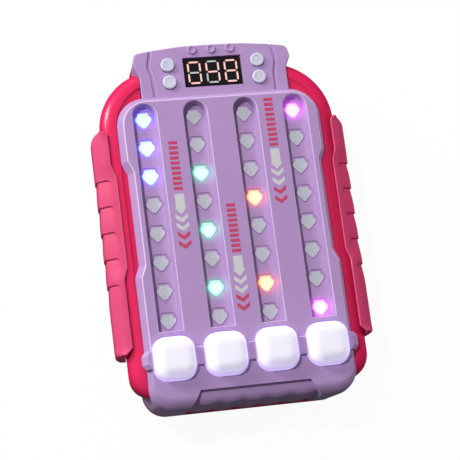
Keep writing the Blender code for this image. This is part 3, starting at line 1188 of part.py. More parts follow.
def contact(name, side, cells, springs, tail, material):
    """A sprung steel plate at one end of the bay, with a coned spring for each negative end."""
    bay_half = (CELL_LENGTH + CELL_NUB) / 2 + CELL_END_SPACE
    back_x = side * (bay_half - SEAT_GAP)
    front_x = back_x - side * CONTACT_THICK
    ys = [cell_y(cell) for cell in cells]
    middle_z = DOOR_THICK + SEAT_GAP + CELL_DIAMETER / 2
    low_y = min(ys) - CONTACT_WIDTH / 2
    high_y = max(ys) + CONTACT_WIDTH / 2
    low_z = middle_z - CONTACT_WIDTH / 2
    high_z = middle_z + CONTACT_WIDTH / 2

    def plate(y0, y1, z0, z1):
        return [[(x, y0, z0), (x, y1, z0), (x, y1, z1), (x, y0, z1)] for x in (back_x, front_x)]

    piece = solid(name, [plate(low_y, high_y, low_z, high_z)], material)
    if tail:
        tail_top = DOOR_THICK + 2 * SEAT_GAP + CELL_DIAMETER + BAY_WALL + CONTACT_TAIL
        half = CONTACT_TAIL_WIDTH / 2
        combine(piece, solid("tail", [plate(ys[0] - half, ys[0] + half, middle_z, tail_top)]), "UNION")
    for cell in cells:
        sprung = cell in springs
        cell_half = (CELL_LENGTH + CELL_NUB) / 2
        reach = bay_half - SEAT_GAP - CONTACT_THICK / 2 - cell_half - SEAT_GAP
        profile = []
        if sprung:
            for at in range(SPRING_TURNS * 2 + 1):
                share = at / (SPRING_TURNS * 2)
                size = SPRING_BASE_DIAMETER + (SPRING_TIP_DIAMETER - SPRING_BASE_DIAMETER) * share
                profile.append((size / 2 - (CONTACT_THICK if at % 2 else 0), reach * share))
        else:
            profile = [(SPRING_BASE_DIAMETER / 2, 0), (SPRING_TIP_DIAMETER / 2, reach)]
        start_x = side * (bay_half - SEAT_GAP - CONTACT_THICK / 2)
        turns = [math.tau * at / SCREW_SIDES for at in range(SCREW_SIDES)]
        rings = [[(start_x - side * along, cell_y(cell) + size * math.cos(turn),
                   middle_z + size * math.sin(turn)) for turn in turns] for size, along in profile]
        combine(piece, solid("pressing", [rings]), "UNION")
    return piece


def make_contacts(material):
    return [contact("contact_plus", -1, (0,), (), True, material),
            contact("contact_link_right", 1, (0, 1), (0,), False, material),
            contact("contact_link_left", -1, (1, 2), (1,), False, material),
            contact("contact_minus", 1, (2,), (2,), True, material)]


def make_lead(name, bends, across, material):
    """A short sleeved wire that eases from its first point up through the bends to its last one."""
    points = []
    for at in range(1, len(bends)):
        before, start, end = bends[max(at - 2, 0)], bends[at - 1], bends[at]
        after = bends[min(at + 1, len(bends) - 1)]
        for step in range(LEAD_STEPS):
            share = step / LEAD_STEPS
            points.append(start + (end - before) / 2 * share
                          + (before * 2 - start * 5 + end * 4 - after) / 2 * share ** 2
                          + (start * 3 - before - end * 3 + after) / 2 * share ** 3)
    points.append(bends[-1])
    rings = []
    for at, point in enumerate(points):
        along = points[min(at + 1, len(points) - 1)] - points[max(at - 1, 0)]
        if at in (0, len(points) - 1):
            along = Vector((0, 0, 1))
        side = along.normalized().cross(across)
        turns = [math.tau * step / LEAD_SIDES for step in range(LEAD_SIDES)]
        rings.append([point + (across * math.cos(turn) + side * math.sin(turn)) * LEAD_DIAMETER / 2
                      for turn in turns])
    return solid(name, [rings], material)


def make_leads(plus, minus):
    """Leads rise from the bay's tails and from the speaker's back to the board."""
    bay_half = (CELL_LENGTH + CELL_NUB) / 2 + CELL_END_SPACE
    tail_x = bay_half - SEAT_GAP - CONTACT_THICK / 2
    start = DOOR_THICK + 2 * SEAT_GAP + CELL_DIAMETER + BAY_WALL + CONTACT_TAIL + SEAT_GAP
    end = BOARD_FOOT - SEAT_GAP
    leads = []
    for name, side, y, material in (("lead_battery_plus", -1, cell_y(0), plus),
                                    ("lead_battery_minus", 1, cell_y(CELLS - 1), minus)):
        bends = [Vector((side * (tail_x - (end - start) * back), y, start + (end - start) * up))
                 for back, up in LEAD_SHARES]
        leads.append(make_lead(name, bends, Vector((0, 1, 0)), material))
    start = BACK_FLOOR + SEAT_GAP + SPEAKER_DEPTH + SEAT_GAP
    foot_y = SPEAKER_Y - (SPEAKER_BACK_DIAMETER + MAGNET_DIAMETER) / 4
    for name, side, material in (("lead_speaker_plus", -1, plus), ("lead_speaker_minus", 1, minus)):
        bends = [Vector((side * LEAD_DIAMETER * 2, foot_y - (end - start) * back / 2,
                         start + (end - start) * up)) for back, up in LEAD_SHARES]
        leads.append(make_lead(name, bends, Vector((1, 0, 0)), material))
    return leads


def shade(pieces):
    for piece in pieces:
        if piece.type == "MESH":
            piece.data.shade_smooth()
            piece.data.set_sharp_from_angle(angle=SMOOTH_BELOW)


def build():
    clear_scene()
    finishes = make_finishes()
    pieces = [make_rear_cover(finishes["crimson"]), make_rim_frame(finishes["crimson"]),
              make_face_panel(finishes["lilac"]),
              make_grip("left_grip", -1, finishes["grip"]), make_grip("right_grip", 1, finishes["grip"])]
    pieces += [make_lens_strip(lane, finishes["lens"]) for lane in range(LANES)]
    pieces += make_display(finishes["black"], finishes["digit"])
    pieces += make_round_buttons(finishes["button"])
    pieces += make_keys(finishes["key"])
    pieces += make_boots(finishes["rubber"])
    pieces.append(make_board(finishes["board"]))
    pieces += make_speaker(finishes["steel"], finishes["paper"])
    pieces.append(make_battery_door(finishes["crimson"]))
    pieces += make_cells(finishes["cell"])
    pieces += make_contacts(finishes["steel"])
    pieces += make_screws(finishes["steel"])
    pieces += make_leads(finishes["lead_plus"], finishes["lead_minus"])
    shade(pieces)
    game = bpy.data.objects.new("game", None)
    bpy.context.scene.collection.objects.link(game)
    game.location.y = -CENTRE_Y
    for piece in pieces:
        piece.parent = game


build()
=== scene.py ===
# %% [markdown]
# A hand-held electronic bubble pop game lies on its back on a pale table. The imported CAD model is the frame:
# it says how big the game is and which pieces move. This script dresses it: finer skins over the plain
# solids, procedural plastics, lit lenses, lamps and the camera. Every size is in metres, in the CAD model's
# own axes: +Z comes out of the face, +Y points to the display and +X to the right.

# %% Load the frame and keep the CAD model's box
import math

import bmesh
import bpy
from mathutils import Matrix, Vector


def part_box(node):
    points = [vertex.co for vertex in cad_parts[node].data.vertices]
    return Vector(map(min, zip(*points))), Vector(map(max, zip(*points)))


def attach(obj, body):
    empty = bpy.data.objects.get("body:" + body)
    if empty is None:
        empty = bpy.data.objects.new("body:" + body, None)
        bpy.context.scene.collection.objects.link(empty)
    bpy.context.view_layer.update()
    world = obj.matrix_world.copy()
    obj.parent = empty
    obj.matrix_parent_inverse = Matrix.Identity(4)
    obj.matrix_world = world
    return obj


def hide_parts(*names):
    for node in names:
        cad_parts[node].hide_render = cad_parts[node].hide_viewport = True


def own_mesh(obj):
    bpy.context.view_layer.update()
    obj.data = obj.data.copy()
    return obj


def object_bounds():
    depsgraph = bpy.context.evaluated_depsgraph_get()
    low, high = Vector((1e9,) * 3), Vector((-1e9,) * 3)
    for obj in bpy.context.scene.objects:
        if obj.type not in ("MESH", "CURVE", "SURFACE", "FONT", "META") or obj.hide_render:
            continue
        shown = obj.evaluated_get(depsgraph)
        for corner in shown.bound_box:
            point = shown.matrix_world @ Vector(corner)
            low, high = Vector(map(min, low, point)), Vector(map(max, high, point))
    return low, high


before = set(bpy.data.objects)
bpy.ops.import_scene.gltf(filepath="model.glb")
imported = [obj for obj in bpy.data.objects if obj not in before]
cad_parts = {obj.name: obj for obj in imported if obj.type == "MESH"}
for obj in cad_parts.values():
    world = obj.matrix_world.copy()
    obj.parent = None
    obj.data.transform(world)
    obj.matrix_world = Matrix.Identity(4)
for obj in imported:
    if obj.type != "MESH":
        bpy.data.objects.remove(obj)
cad_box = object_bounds()
MM = 0.001
print("CAD box", cad_box)

# %% [markdown]
# The lens grid is the ruler of this object. Its lanes and its pitch are read from the light strips' boxes,
# and all plan sizes below are measured from its middle, as a toolmaker would dimension the face.

# %% Measure the lens grid and the keys on the frame
LANES = 4
LENSES_PER_LANE = 8
strips = [[Vector(corner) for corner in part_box(f"lens_strip_{lane + 1}")] for lane in range(LANES)]
lane_x = [(low.x + high.x) / 2 for low, high in strips]
strip_low, strip_high = strips[0]
GRID_Y = (strip_low.y + strip_high.y) / 2
plate_width = strip_high.x - strip_low.x
LENS_PITCH = (strip_high.y - strip_low.y - plate_width) / (LENSES_PER_LANE - 1)
lens_y = [((LENSES_PER_LANE - 1) / 2 - number) * LENS_PITCH for number in range(LENSES_PER_LANE)]
LENS_TOP = strip_high.z
key_low, key_high = (Vector(corner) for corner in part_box("key_cap_1"))
KEY_Y = (key_low.y + key_high.y) / 2 - GRID_Y
KEY_TOP = key_high.z
KEY_FOOT = key_low.z
print("lanes", lane_x, "lens pitch", LENS_PITCH, "grid at y", GRID_Y)

# %% [markdown]
# The camera stands above the near left corner and looks steeply down. Its place, heading and long lens were
# found once from where the lenses appear in the picture, so they are plain values here.

# %% Set up the camera
CAMERA_PLACE = Vector((-175.174, -164.410, 776.313)) * MM
CAMERA_AZIMUTH = math.radians(-47.308)
CAMERA_ELEVATION = math.radians(72.508)
CAMERA_ROLL = math.radians(41.102)
FOCAL_PIXELS = 1766.12
PICTURE_PIXELS = 460
SENSOR_WIDTH = 36.0
NEAREST_SEEN = 10 * MM
FARTHEST_SEEN = 20.0


def aim_camera():
    """A camera whose three axes are written out: right, up and back."""
    back = Vector((math.sin(CAMERA_AZIMUTH) * math.cos(CAMERA_ELEVATION),
                   -math.cos(CAMERA_AZIMUTH) * math.cos(CAMERA_ELEVATION), math.sin(CAMERA_ELEVATION)))
    level = Vector((0, 0, 1)).cross(back).normalized()
    upright = back.cross(level)
    right = level * math.cos(CAMERA_ROLL) + upright * math.sin(CAMERA_ROLL)
    up = upright * math.cos(CAMERA_ROLL) - level * math.sin(CAMERA_ROLL)
    lens = bpy.data.cameras.new("picture_camera")
    lens.sensor_width = SENSOR_WIDTH
    lens.lens = FOCAL_PIXELS / PICTURE_PIXELS * SENSOR_WIDTH
    lens.clip_start = NEAREST_SEEN
    lens.clip_end = FARTHEST_SEEN
    camera = bpy.data.objects.new("picture_camera", lens)
    bpy.context.scene.collection.objects.link(camera)
    camera.matrix_world = Matrix.Translation(CAMERA_PLACE) @ Matrix((right, up, back)).transposed().to_4x4()
    bpy.context.scene.camera = camera


aim_camera()

# %% [markdown]
# A moulded plastic starts as a drawing: an outline of corners with radii, stacked at heights. A closed skin
# over the stack gives a wall with its draft, and rounding written into the stack gives real fillets, which
# catch the light as no flat facet can. Cuts are made with the same stacks, with their fillets built in.

# %% Outline and stack helpers
PLAN_STEPS = 12
EDGE_STEPS = 5
TURNED_SIDES = 48
OVERRUN = 2.0 * MM
MIN_RADIUS = 0.05 * MM
STEP_SLACK = 0.001


def quarter_turns(steps):
    """The angles of a quarter turn, from nothing to a right angle."""
    return [math.pi / 2 * step / steps for step in range(steps + 1)]


def rounded_path(corners, steps=PLAN_STEPS, closed=True):
    """Turns (x, y, radius) corners into points; a quarter turn takes the given number of steps."""
    points = []
    last = len(corners) - 1
    for at, (x, y, radius) in enumerate(corners):
        here = Vector((x, y))
        if not radius or (not closed and at in (0, last)):
            points.append(here)
            continue
        arriving = here - Vector(corners[at - 1][:2])
        leaving = Vector(corners[(at + 1) % len(corners)][:2]) - here
        room = min(arriving.length, leaving.length) / 2
        arriving.normalize()
        leaving.normalize()
        turn = math.atan2(arriving.cross(leaving), arriving.dot(leaving))
        tangent = min(radius * math.tan(abs(turn) / 2), room)
        radius = tangent / math.tan(abs(turn) / 2)
        inward = Vector((-arriving.y, arriving.x)) * math.copysign(1, turn)
        centre = here - arriving * tangent + inward * radius
        start = math.atan2(-inward.y, -inward.x)
        arc_steps = max(math.ceil(steps * abs(turn) / (math.pi / 2) - STEP_SLACK), 1)
        for step in range(arc_steps + 1):
            angle = start + turn * step / arc_steps
            points.append(centre + radius * Vector((math.cos(angle), math.sin(angle))))
    return points


def offset_outline(outline, distance):
    """Moves every side of a counter-clockwise outline inwards."""
    moved = []
    for at, (x, y, radius) in enumerate(outline):
        here = Vector((x, y))
        arriving = (here - Vector(outline[at - 1][:2])).normalized()
        leaving = (Vector(outline[(at + 1) % len(outline)][:2]) - here).normalized()
        normal_in = Vector((-arriving.y, arriving.x))
        normal_out = Vector((-leaving.y, leaving.x))
        point = here + (normal_in + normal_out) * distance / (1 + normal_in.dot(normal_out))
        if radius:
            change = -distance if arriving.cross(leaving) > 0 else distance
            radius = max(radius + change, MIN_RADIUS)
        moved.append((point.x, point.y, radius))
    return moved


def stack(outline, levels, steps=PLAN_STEPS):
    """Rings of an outline at each (height, inset)."""
    return [[(x, y, z) for x, y in rounded_path(offset_outline(outline, inset), steps)]
            for z, inset in levels]


def edge_levels(corners, steps=EDGE_STEPS):
    """Levels of a stack from its side view, drawn as (inset, height, radius) corners."""
    return [(z, inset) for inset, z in rounded_path(corners, steps, closed=False)]


def mirrored(half):
    """Completes an outline whose right half runs from front to top."""
    return half + [(-x, y, radius) for x, y, radius in reversed(half) if x]


def rectangle(x, y, width, length, radius=0.0):
    return [(x + side * width / 2, y + end * length / 2, radius)
            for side, end in ((-1, -1), (1, -1), (1, 1), (-1, 1))]


def turned(x, y, profile, sides=TURNED_SIDES):
    """Rings of a turned shape from its (radius, height) profile."""
    turns = [math.tau * at / sides for at in range(sides)]
    return [[(x + radius * math.cos(turn), y + radius * math.sin(turn), z) for turn in turns]
            for radius, z in profile]


# %% Skin, carve and finish helpers
SHARP_ANGLE = math.radians(32)


def skin(name, bodies, ring_shaped=False):
    """Closed skins over stacks of equal rings, moved from the lens grid to the game's own origin."""
    mesh = bmesh.new()
    for rings in bodies:
        loops = [[mesh.verts.new((x, y + GRID_Y, z)) for x, y, z in ring] for ring in rings]
        pairs = list(zip(loops, loops[1:]))
        if ring_shaped:
            pairs.append((loops[-1], loops[0]))
        else:
            mesh.faces.new(loops[0][::-1])
            mesh.faces.new(loops[-1])
        for low, high in pairs:
            for at in range(len(low)):
                after = (at + 1) % len(low)
                mesh.faces.new((low[at], low[after], high[after], high[at]))
    bmesh.ops.recalc_face_normals(mesh, faces=mesh.faces)
    data = bpy.data.meshes.new(name)
    mesh.to_mesh(data)
    mesh.free()
    piece = bpy.data.objects.new(name, data)
    bpy.context.scene.collection.objects.link(piece)
    return piece


def carve(piece, tool, operation="DIFFERENCE"):
    """Cuts or joins with a second solid, which is used up."""
    modifier = piece.modifiers.new("carve", "BOOLEAN")
    modifier.operation = operation
    modifier.solver = "EXACT"
    modifier.object = tool
    graph = bpy.context.evaluated_depsgraph_get()
    result = bpy.data.meshes.new_from_object(piece.evaluated_get(graph))
    piece.modifiers.clear()
    piece.data = result
    bpy.data.objects.remove(tool)
    return piece


def cut(piece, name, bodies):
    """Cuts tools, made from their rings, out of a piece."""
    return carve(piece, skin(name, bodies))


def join(piece, name, bodies):
    """Joins forms, made from their rings, to a piece."""
    return carve(piece, skin(name, bodies), "UNION")


def dress(piece, material, body, slot, *nodes):
    """Smooth shading with true flats, the material, the body to ride on and the nodes that it stands for."""
    piece.data.materials.clear()
    piece.data.materials.append(material)
    piece.data.shade_smooth()
    piece.data.set_sharp_from_angle(angle=SHARP_ANGLE)
    weighted = piece.modifiers.new("flat_faces_stay_flat", "WEIGHTED_NORMAL")
    weighted.keep_sharp = True
    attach(piece, body)
    if nodes:
        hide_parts(*nodes)
    print(piece.name, len(piece.data.polygons), "faces")
    return piece


# %% [markdown]
# Injection-moulded ABS is never one flat colour. The melt leaves faint clouds of tone, the steel of the mould
# leaves a fine grain, and the gloss wanders with it. One function builds that plastic for the lilac shell,
# the glossy crimson case, the matt grips and the grey buttons, from a real grain size in millimetres.

# %% Colours and node helpers
SRGB_KNEE = 0.04045
SRGB_SLOPE = 12.92
SRGB_LIFT = 0.055
SRGB_POWER = 2.4


def linear(hex_colour):
    """An sRGB hex colour as the linear values that nodes want."""
    channels = [int(hex_colour[at:at + 2], 16) / 255 for at in (0, 2, 4)]
    return tuple(channel / SRGB_SLOPE if channel <= SRGB_KNEE else
                 ((channel + SRGB_LIFT) / (1 + SRGB_LIFT)) ** SRGB_POWER for channel in channels) + (1.0,)


def add_node(tree, kind, values=None, links=None, **settings):
    """Adds a node with its settings, socket values and incoming links."""
    added = tree.nodes.new(kind)
    for name, value in settings.items():
        setattr(added, name, value)
    for socket, value in (values or {}).items():
        added.inputs[socket].default_value = value
    for socket, source in (links or {}).items():
        tree.links.new(source, added.inputs[socket])
    return added


def new_material(name):
    material = bpy.data.materials.new(name)
    material.use_nodes = True
    tree = material.node_tree
    shader = tree.nodes["Principled BSDF"]
    place = add_node(tree, "ShaderNodeTexCoord")
    return material, tree, shader, place.outputs["Object"]


def facing(tree):
    """Which way the surface faces, as X, Y and Z sockets."""
    normal = add_node(tree, "ShaderNodeTexCoord").outputs["Normal"]
    return add_node(tree, "ShaderNodeSeparateXYZ", links={0: normal}).outputs


def combined(tree, kind, parts, operation):
    """Chains two-input nodes until all the parts are in one socket."""
    whole = parts[0]
    for part in parts[1:]:
        whole = add_node(tree, kind, links={0: whole, 1: part}, operation=operation).outputs[0]
    return whole


def retone(material, *changes):
    """Sends a material's colour through functions that add to it, and returns what more nodes need."""
    tree = material.node_tree
    shader = tree.nodes["Principled BSDF"]
    place = next(node for node in tree.nodes if node.type == "TEX_COORD").outputs["Object"]
    tone = shader.inputs["Base Color"].links[0].from_socket
    for change in changes:
        tone = change(tree, place, tone)
    tree.links.new(tone, shader.inputs["Base Color"])
    return tree, shader, place


# %% Moulded plastic
CLOUD_SIZE = 18.0 * MM
PLASTIC_IOR = 1.5
GLOSS_BELOW = 0.05
GLOSS_ABOVE = 0.06
COAT_ROUGHNESS = 0.18
SCATTER_DEPTH = 2.0 * MM


def moulded_plastic(name, colour, shade, grain, grain_depth, roughness, coat=0.0, subsurface=0.0, sheen=0.5):
    """The melt drifts from colour to shade; grain and grain_depth are the mould's texture in metres."""
    material, tree, shader, place = new_material(name)
    clouds = add_node(tree, "ShaderNodeTexNoise", {"Scale": 1 / CLOUD_SIZE, "Detail": 3.0}, {"Vector": place})
    tone = add_node(tree, "ShaderNodeMix", {6: linear(shade), 7: linear(colour)},
                    {0: clouds.outputs["Fac"]}, data_type="RGBA")
    fine = add_node(tree, "ShaderNodeTexNoise", {"Scale": 1 / grain, "Detail": 2.0}, {"Vector": place})
    gloss = add_node(tree, "ShaderNodeMapRange", {"To Min": roughness - GLOSS_BELOW,
                                                  "To Max": roughness + GLOSS_ABOVE},
                     {"Value": fine.outputs["Fac"]})
    bump = add_node(tree, "ShaderNodeBump", {"Strength": 1.0, "Distance": grain_depth},
                    {"Height": fine.outputs["Fac"]})
    shader.inputs["IOR"].default_value = PLASTIC_IOR
    shader.inputs["Specular IOR Level"].default_value = sheen
    shader.inputs["Coat Weight"].default_value = coat
    shader.inputs["Coat Roughness"].default_value = COAT_ROUGHNESS
    if subsurface:
        shader.inputs["Subsurface Weight"].default_value = subsurface
        shader.inputs["Subsurface Scale"].default_value = SCATTER_DEPTH
    tree.links.new(tone.outputs[2], shader.inputs["Base Color"])
    tree.links.new(gloss.outputs["Result"], shader.inputs["Roughness"])
    tree.links.new(bump.outputs["Normal"], shader.inputs["Normal"])
    return material


CRIMSON = moulded_plastic("glossy_crimson_abs", "DC1C59", "D21850", 0.5 * MM, 0.008 * MM, 0.3, coat=0.15,
                         sheen=0.3)
GRIP = moulded_plastic("matt_crimson_soft_touch", "D44471", "C83D69", 0.35 * MM, 0.03 * MM, 0.55, sheen=0.35)

# %% [markdown]
# Ten lenses are lit. The lilac shell is thin ABS over bright diodes, so each lit lens also throws its own
# colour on the slot round it. That colour is painted light: an emission that fades with the distance from the
# lens, stronger on walls than on floors, read from Object coordinates, and it stays put when the camera moves.
# The shell's lips and fillets carry a painted highlight, a paler tone, and the level floors of the slots are
# painted a little paler to lift their shade.

# %% Which lenses are lit, and the lilac shell's plastic
LIT = {"blue": [(0, 0), (0, 1), (0, 2)], "mint": [(1, 2), (1, 4), (1, 6)], "amber": [(2, 3), (2, 6)],
       "magenta": [(3, 0), (3, 7)]}
CORE_COLOURS = {"blue": "DCFFFA", "mint": "CFFFEA", "amber": "FFF2A6", "magenta": "FFE8FF"}
LENS_GLOW_COLOURS = {"blue": "5A2CFF", "mint": "18B888", "amber": "E0481E", "magenta": "E63CFF"}
# How far, how strongly and on which faces the painted glow of the lit lenses reaches
LENS_GLOW_REACH = 9.0 * MM
LENS_GLOW_CORE = 2.5 * MM
LENS_GLOW_STRENGTH = 1.1
FLOOR_GLOW_SHARE = 0.35
WALL_GLOW_SHARE = 0.8
SLOT_FLOOR = 27.7 * MM
# Strength and limits of the painted highlight on the lilac lips and fillets
EDGE_HIGHLIGHT = 0.6
EDGE_HIGHLIGHT_REACH = 44.6 * MM
EDGE_HIGHLIGHT_FROM = 31.1 * MM
EDGE_HIGHLIGHT_FADE = 0.3 * MM
EDGE_HIGHLIGHT_SIDE_FADE = 0.5 * MM


def lens_place(lane, number):
    return lane_x[lane], lens_y[number] + GRID_Y


def painted_lens_glow(tree, place):
    """Adds up the painted glow round every lit lens; walls get more of it than floors."""
    light_pools = []
    for lamp, lenses in LIT.items():
        ways = [add_node(tree, "ShaderNodeVectorMath", {1: (*lens_place(*lens), LENS_TOP)}, {0: place},
                         operation="DISTANCE").outputs["Value"] for lens in lenses]
        fade = add_node(tree, "ShaderNodeMapRange", {"From Min": LENS_GLOW_REACH, "From Max": LENS_GLOW_CORE},
                        {"Value": combined(tree, "ShaderNodeMath", ways, "MINIMUM")},
                        interpolation_type="SMOOTHERSTEP")
        squared = add_node(tree, "ShaderNodeMath", {1: 2.0}, {0: fade.outputs["Result"]}, operation="POWER")
        light_pools.append(add_node(tree, "ShaderNodeVectorMath", {0: linear(LENS_GLOW_COLOURS[lamp])[:3]},
                               {"Scale": squared.outputs[0]}, operation="SCALE").outputs[0])
    wall = add_node(tree, "ShaderNodeMapRange", {"From Min": 1.0, "From Max": 0.2, "To Min": FLOOR_GLOW_SHARE,
                                                 "To Max": WALL_GLOW_SHARE}, {"Value": facing(tree)["Z"]})
    return add_node(tree, "ShaderNodeVectorMath", links={
        0: combined(tree, "ShaderNodeVectorMath", light_pools, "ADD"), "Scale": wall.outputs["Result"]},
        operation="SCALE").outputs[0]


def painted_slot_floor_light(tree, place, tone):
    """Painted light: the level, low floors of the slots are made paler than the panel, to lift their shade."""
    height = add_node(tree, "ShaderNodeSeparateXYZ", links={0: place}).outputs["Z"]
    low = add_node(tree, "ShaderNodeMapRange", {"From Min": SLOT_FLOOR + 0.5 * MM,
                                                "From Max": SLOT_FLOOR + 0.1 * MM}, {"Value": height})
    level = add_node(tree, "ShaderNodeMapRange", {"From Min": 0.8, "From Max": 0.98},
                     {"Value": facing(tree)["Z"]})
    both = add_node(tree, "ShaderNodeMath", links={0: low.outputs["Result"], 1: level.outputs["Result"]},
                    operation="MULTIPLY")
    return add_node(tree, "ShaderNodeMix", {7: linear("BE9DCE")}, {0: both.outputs[0], 6: tone},
                    data_type="RGBA").outputs[2]


def painted_edge_highlight(tree, place, tone):
    """A painted highlight: lips and fillets above the slots are paler than the faces beside them."""
    spot = add_node(tree, "ShaderNodeSeparateXYZ", links={0: place}).outputs
    upward = facing(tree)["Z"]
    aside = add_node(tree, "ShaderNodeMath", links={0: spot["X"]}, operation="ABSOLUTE").outputs[0]
    limits = ((upward, 0.54, 0.66, EDGE_HIGHLIGHT), (upward, 0.985, 0.93, 1.0),
              (spot["Z"], EDGE_HIGHLIGHT_FROM, EDGE_HIGHLIGHT_FROM + EDGE_HIGHLIGHT_FADE, 1.0),
              (aside, EDGE_HIGHLIGHT_REACH + EDGE_HIGHLIGHT_SIDE_FADE, EDGE_HIGHLIGHT_REACH, 1.0))
    shares = [add_node(tree, "ShaderNodeMapRange", {"From Min": start, "From Max": end, "To Max": most},
                       {"Value": value}).outputs["Result"] for value, start, end, most in limits]
    return add_node(tree, "ShaderNodeMix", {7: linear("EBDCF4")}, {
        0: combined(tree, "ShaderNodeMath", shares, "MULTIPLY"), 6: tone}, data_type="RGBA").outputs[2]


LILAC = moulded_plastic("lilac_satin_abs", "B191C2", "AA8ABD", 0.45 * MM, 0.02 * MM, 0.4, sheen=0.4)
# Painted light on the lilac: paler slot floors, highlighted lips and the lenses' glow as an emission
lilac_tree, lilac_shader, lilac_place = retone(LILAC, painted_slot_floor_light, painted_edge_highlight)
lilac_tree.links.new(painted_lens_glow(lilac_tree, lilac_place), lilac_shader.inputs["Emission Color"])
for socket, value in (("Emission Strength", LENS_GLOW_STRENGTH), ("Sheen Weight", 0.25),
                      ("Sheen Tint", linear("EBD8F6")), ("Sheen Roughness", 0.35)):
    lilac_shader.inputs[socket].default_value = value

# %% [markdown]
# The lilac face is one moulding: a lane panel with a drafted, rounded edge and a waist, a lower display head
# with two zigzag grooves, a band between the keys that ends in small tabs, and a chin that rolls over the
# near end. It is built as stacks that are joined, and its slots, recesses, grooves and openings are carved
# with tools that have their own fillets.

# %% Sizes of the lilac face
PANEL_SEAT = 28.0 * MM
PANEL_TOP = 32.0 * MM
PANEL_HALF_WIDTH = 46.9 * MM
PANEL_WAIST = 2.3 * MM
PANEL_TOP_Y = 56.0 * MM
PANEL_FRONT_Y = -64.0 * MM
PANEL_RADIUS = 13.5 * MM
PANEL_BEVEL = 2.5 * MM
PANEL_EDGE = 0.8 * MM
WAIST_TOP_Y = 26.3 * MM
WAIST_FRONT_Y = -25.3 * MM
WAIST_RAMP = 5.1 * MM
WAIST_RADIUS = 2.0 * MM
SKIN_THICK = 2.0 * MM
SLOT_WIDTH = 11.0 * MM
SLOT_FLOOR_WIDTH = 9.3 * MM
SLOT_TOP_Y = 52.5 * MM
SLOT_FRONT_Y = -50.6 * MM
SLOT_LIP = 0.45 * MM
SLOT_FILLET = 0.4 * MM
TROUGH_FOOT = 25.9 * MM
GEM_WIDTH = 7.8 * MM
GEM_HEIGHT = 7.1 * MM
GEM_RECESS = 0.8 * MM
GEM_RECESS_DEPTH = 0.4 * MM
GEM_GAP = 0.02 * MM
HEAD_TOP = 28.8 * MM
HEAD_FOOT = 15.0 * MM
HEAD_HALF_WIDTH = 36.7 * MM
HEAD_START_Y = 52.0 * MM
HEAD_TOP_Y = 79.5 * MM
HEAD_DRAFT = 1.4 * MM
HEAD_EDGE = 0.7 * MM
HEAD_SHARES = ((0.932, 0.0, 0.0), (0.932, 0.52, 0.1), (1.0, 0.72, 0.06), (0.97, 0.90, 0.08),
               (0.76, 0.945, 0.2), (0.38, 0.992, 0.4), (0.0, 1.0, 0.0))
GROOVE_WIDTH = 1.9 * MM
GROOVE_DEPTH = 1.2 * MM
GROOVE_SHARES = ((0.739, 1.06), (0.806, 0.67), (0.771, 0.47), (0.764, 0.145))
WINDOW_WIDTH = 27.3 * MM
WINDOW_HEIGHT = 14.0 * MM
WINDOW_Y = 66.6 * MM
WINDOW_BEVEL = 0.35 * MM
BUTTON_DIAMETER = 6.4 * MM
BUTTON_X = 20.8 * MM
BUTTON_Y = 66.5 * MM
BUTTON_PITCH = 8.1 * MM
BUTTON_GAP = 0.25 * MM
KEY_WIDTH = 19.4 * MM
KEY_RADIUS = 6.4 * MM
KEY_GAP = 0.3 * MM
KEY_FLANGE = 0.8 * MM
KEY_CEILING = 29.3 * MM
BAND_WIDTH = 8.0 * MM
BAND_TOP = 33.0 * MM
BAND_CHAMFER = 0.7 * MM
TAB_REACH = 1.6 * MM
TAB_CHAMFER = 2.0 * MM
TAB_DROP = 2.0 * MM
RIM_CLEAR = 28.6 * MM
CHIN_START_Y = -60.6 * MM
CHIN_STEP = 0.15 * MM
CHIN_FRONT_Y = -85.0 * MM
CHIN_RADIUS = 11.0 * MM
CHIN_ROUND = 6.0 * MM
CHIN_TOP = 31.0 * MM
CHIN_FOOT = 5.3 * MM
CHIN_FOOT_DRAFT = 0.9 * MM
CHIN_WALL = 3.4 * MM


def panel_outline(front_y=PANEL_FRONT_Y):
    narrow = PANEL_HALF_WIDTH - PANEL_WAIST
    return mirrored([(PANEL_HALF_WIDTH, front_y, 0),
                     (PANEL_HALF_WIDTH, WAIST_FRONT_Y, WAIST_RADIUS),
                     (narrow, WAIST_FRONT_Y + WAIST_RAMP, WAIST_RADIUS),
                     (narrow, WAIST_TOP_Y - WAIST_RAMP, WAIST_RADIUS),
                     (PANEL_HALF_WIDTH, WAIST_TOP_Y, WAIST_RADIUS),
                     (PANEL_HALF_WIDTH, PANEL_TOP_Y, PANEL_RADIUS)])


def head_outline(start_y=HEAD_START_Y):
    length = HEAD_TOP_Y - HEAD_START_Y
    return mirrored([(x * HEAD_HALF_WIDTH, max(HEAD_START_Y + y * length, start_y), radius * HEAD_HALF_WIDTH)
                     for x, y, radius in HEAD_SHARES])


# %% The chin, as rings whose front rolls over while the sides keep their bevel
CHIN_ROLL_STEPS = 14
CHIN_CORNER_STEPS = 14


def bevel_inset(z, top):
    """Inset of the drafted panel edge at a height, with its fillet under a given top."""
    slope = PANEL_BEVEL / (PANEL_TOP - PANEL_SEAT)
    if z <= PANEL_SEAT:
        return CHIN_FOOT_DRAFT * (PANEL_SEAT - z) / (PANEL_SEAT - CHIN_FOOT)
    lean = math.atan2(1, slope)
    tangent = PANEL_EDGE * math.tan(lean / 2)
    starts = top - tangent * math.sin(lean)
    if z <= starts:
        return slope * (z - PANEL_SEAT)
    drop = z - (top - PANEL_EDGE)
    corner = slope * (top - PANEL_SEAT) + tangent
    return corner - math.sqrt(max(PANEL_EDGE ** 2 - drop ** 2, 0))


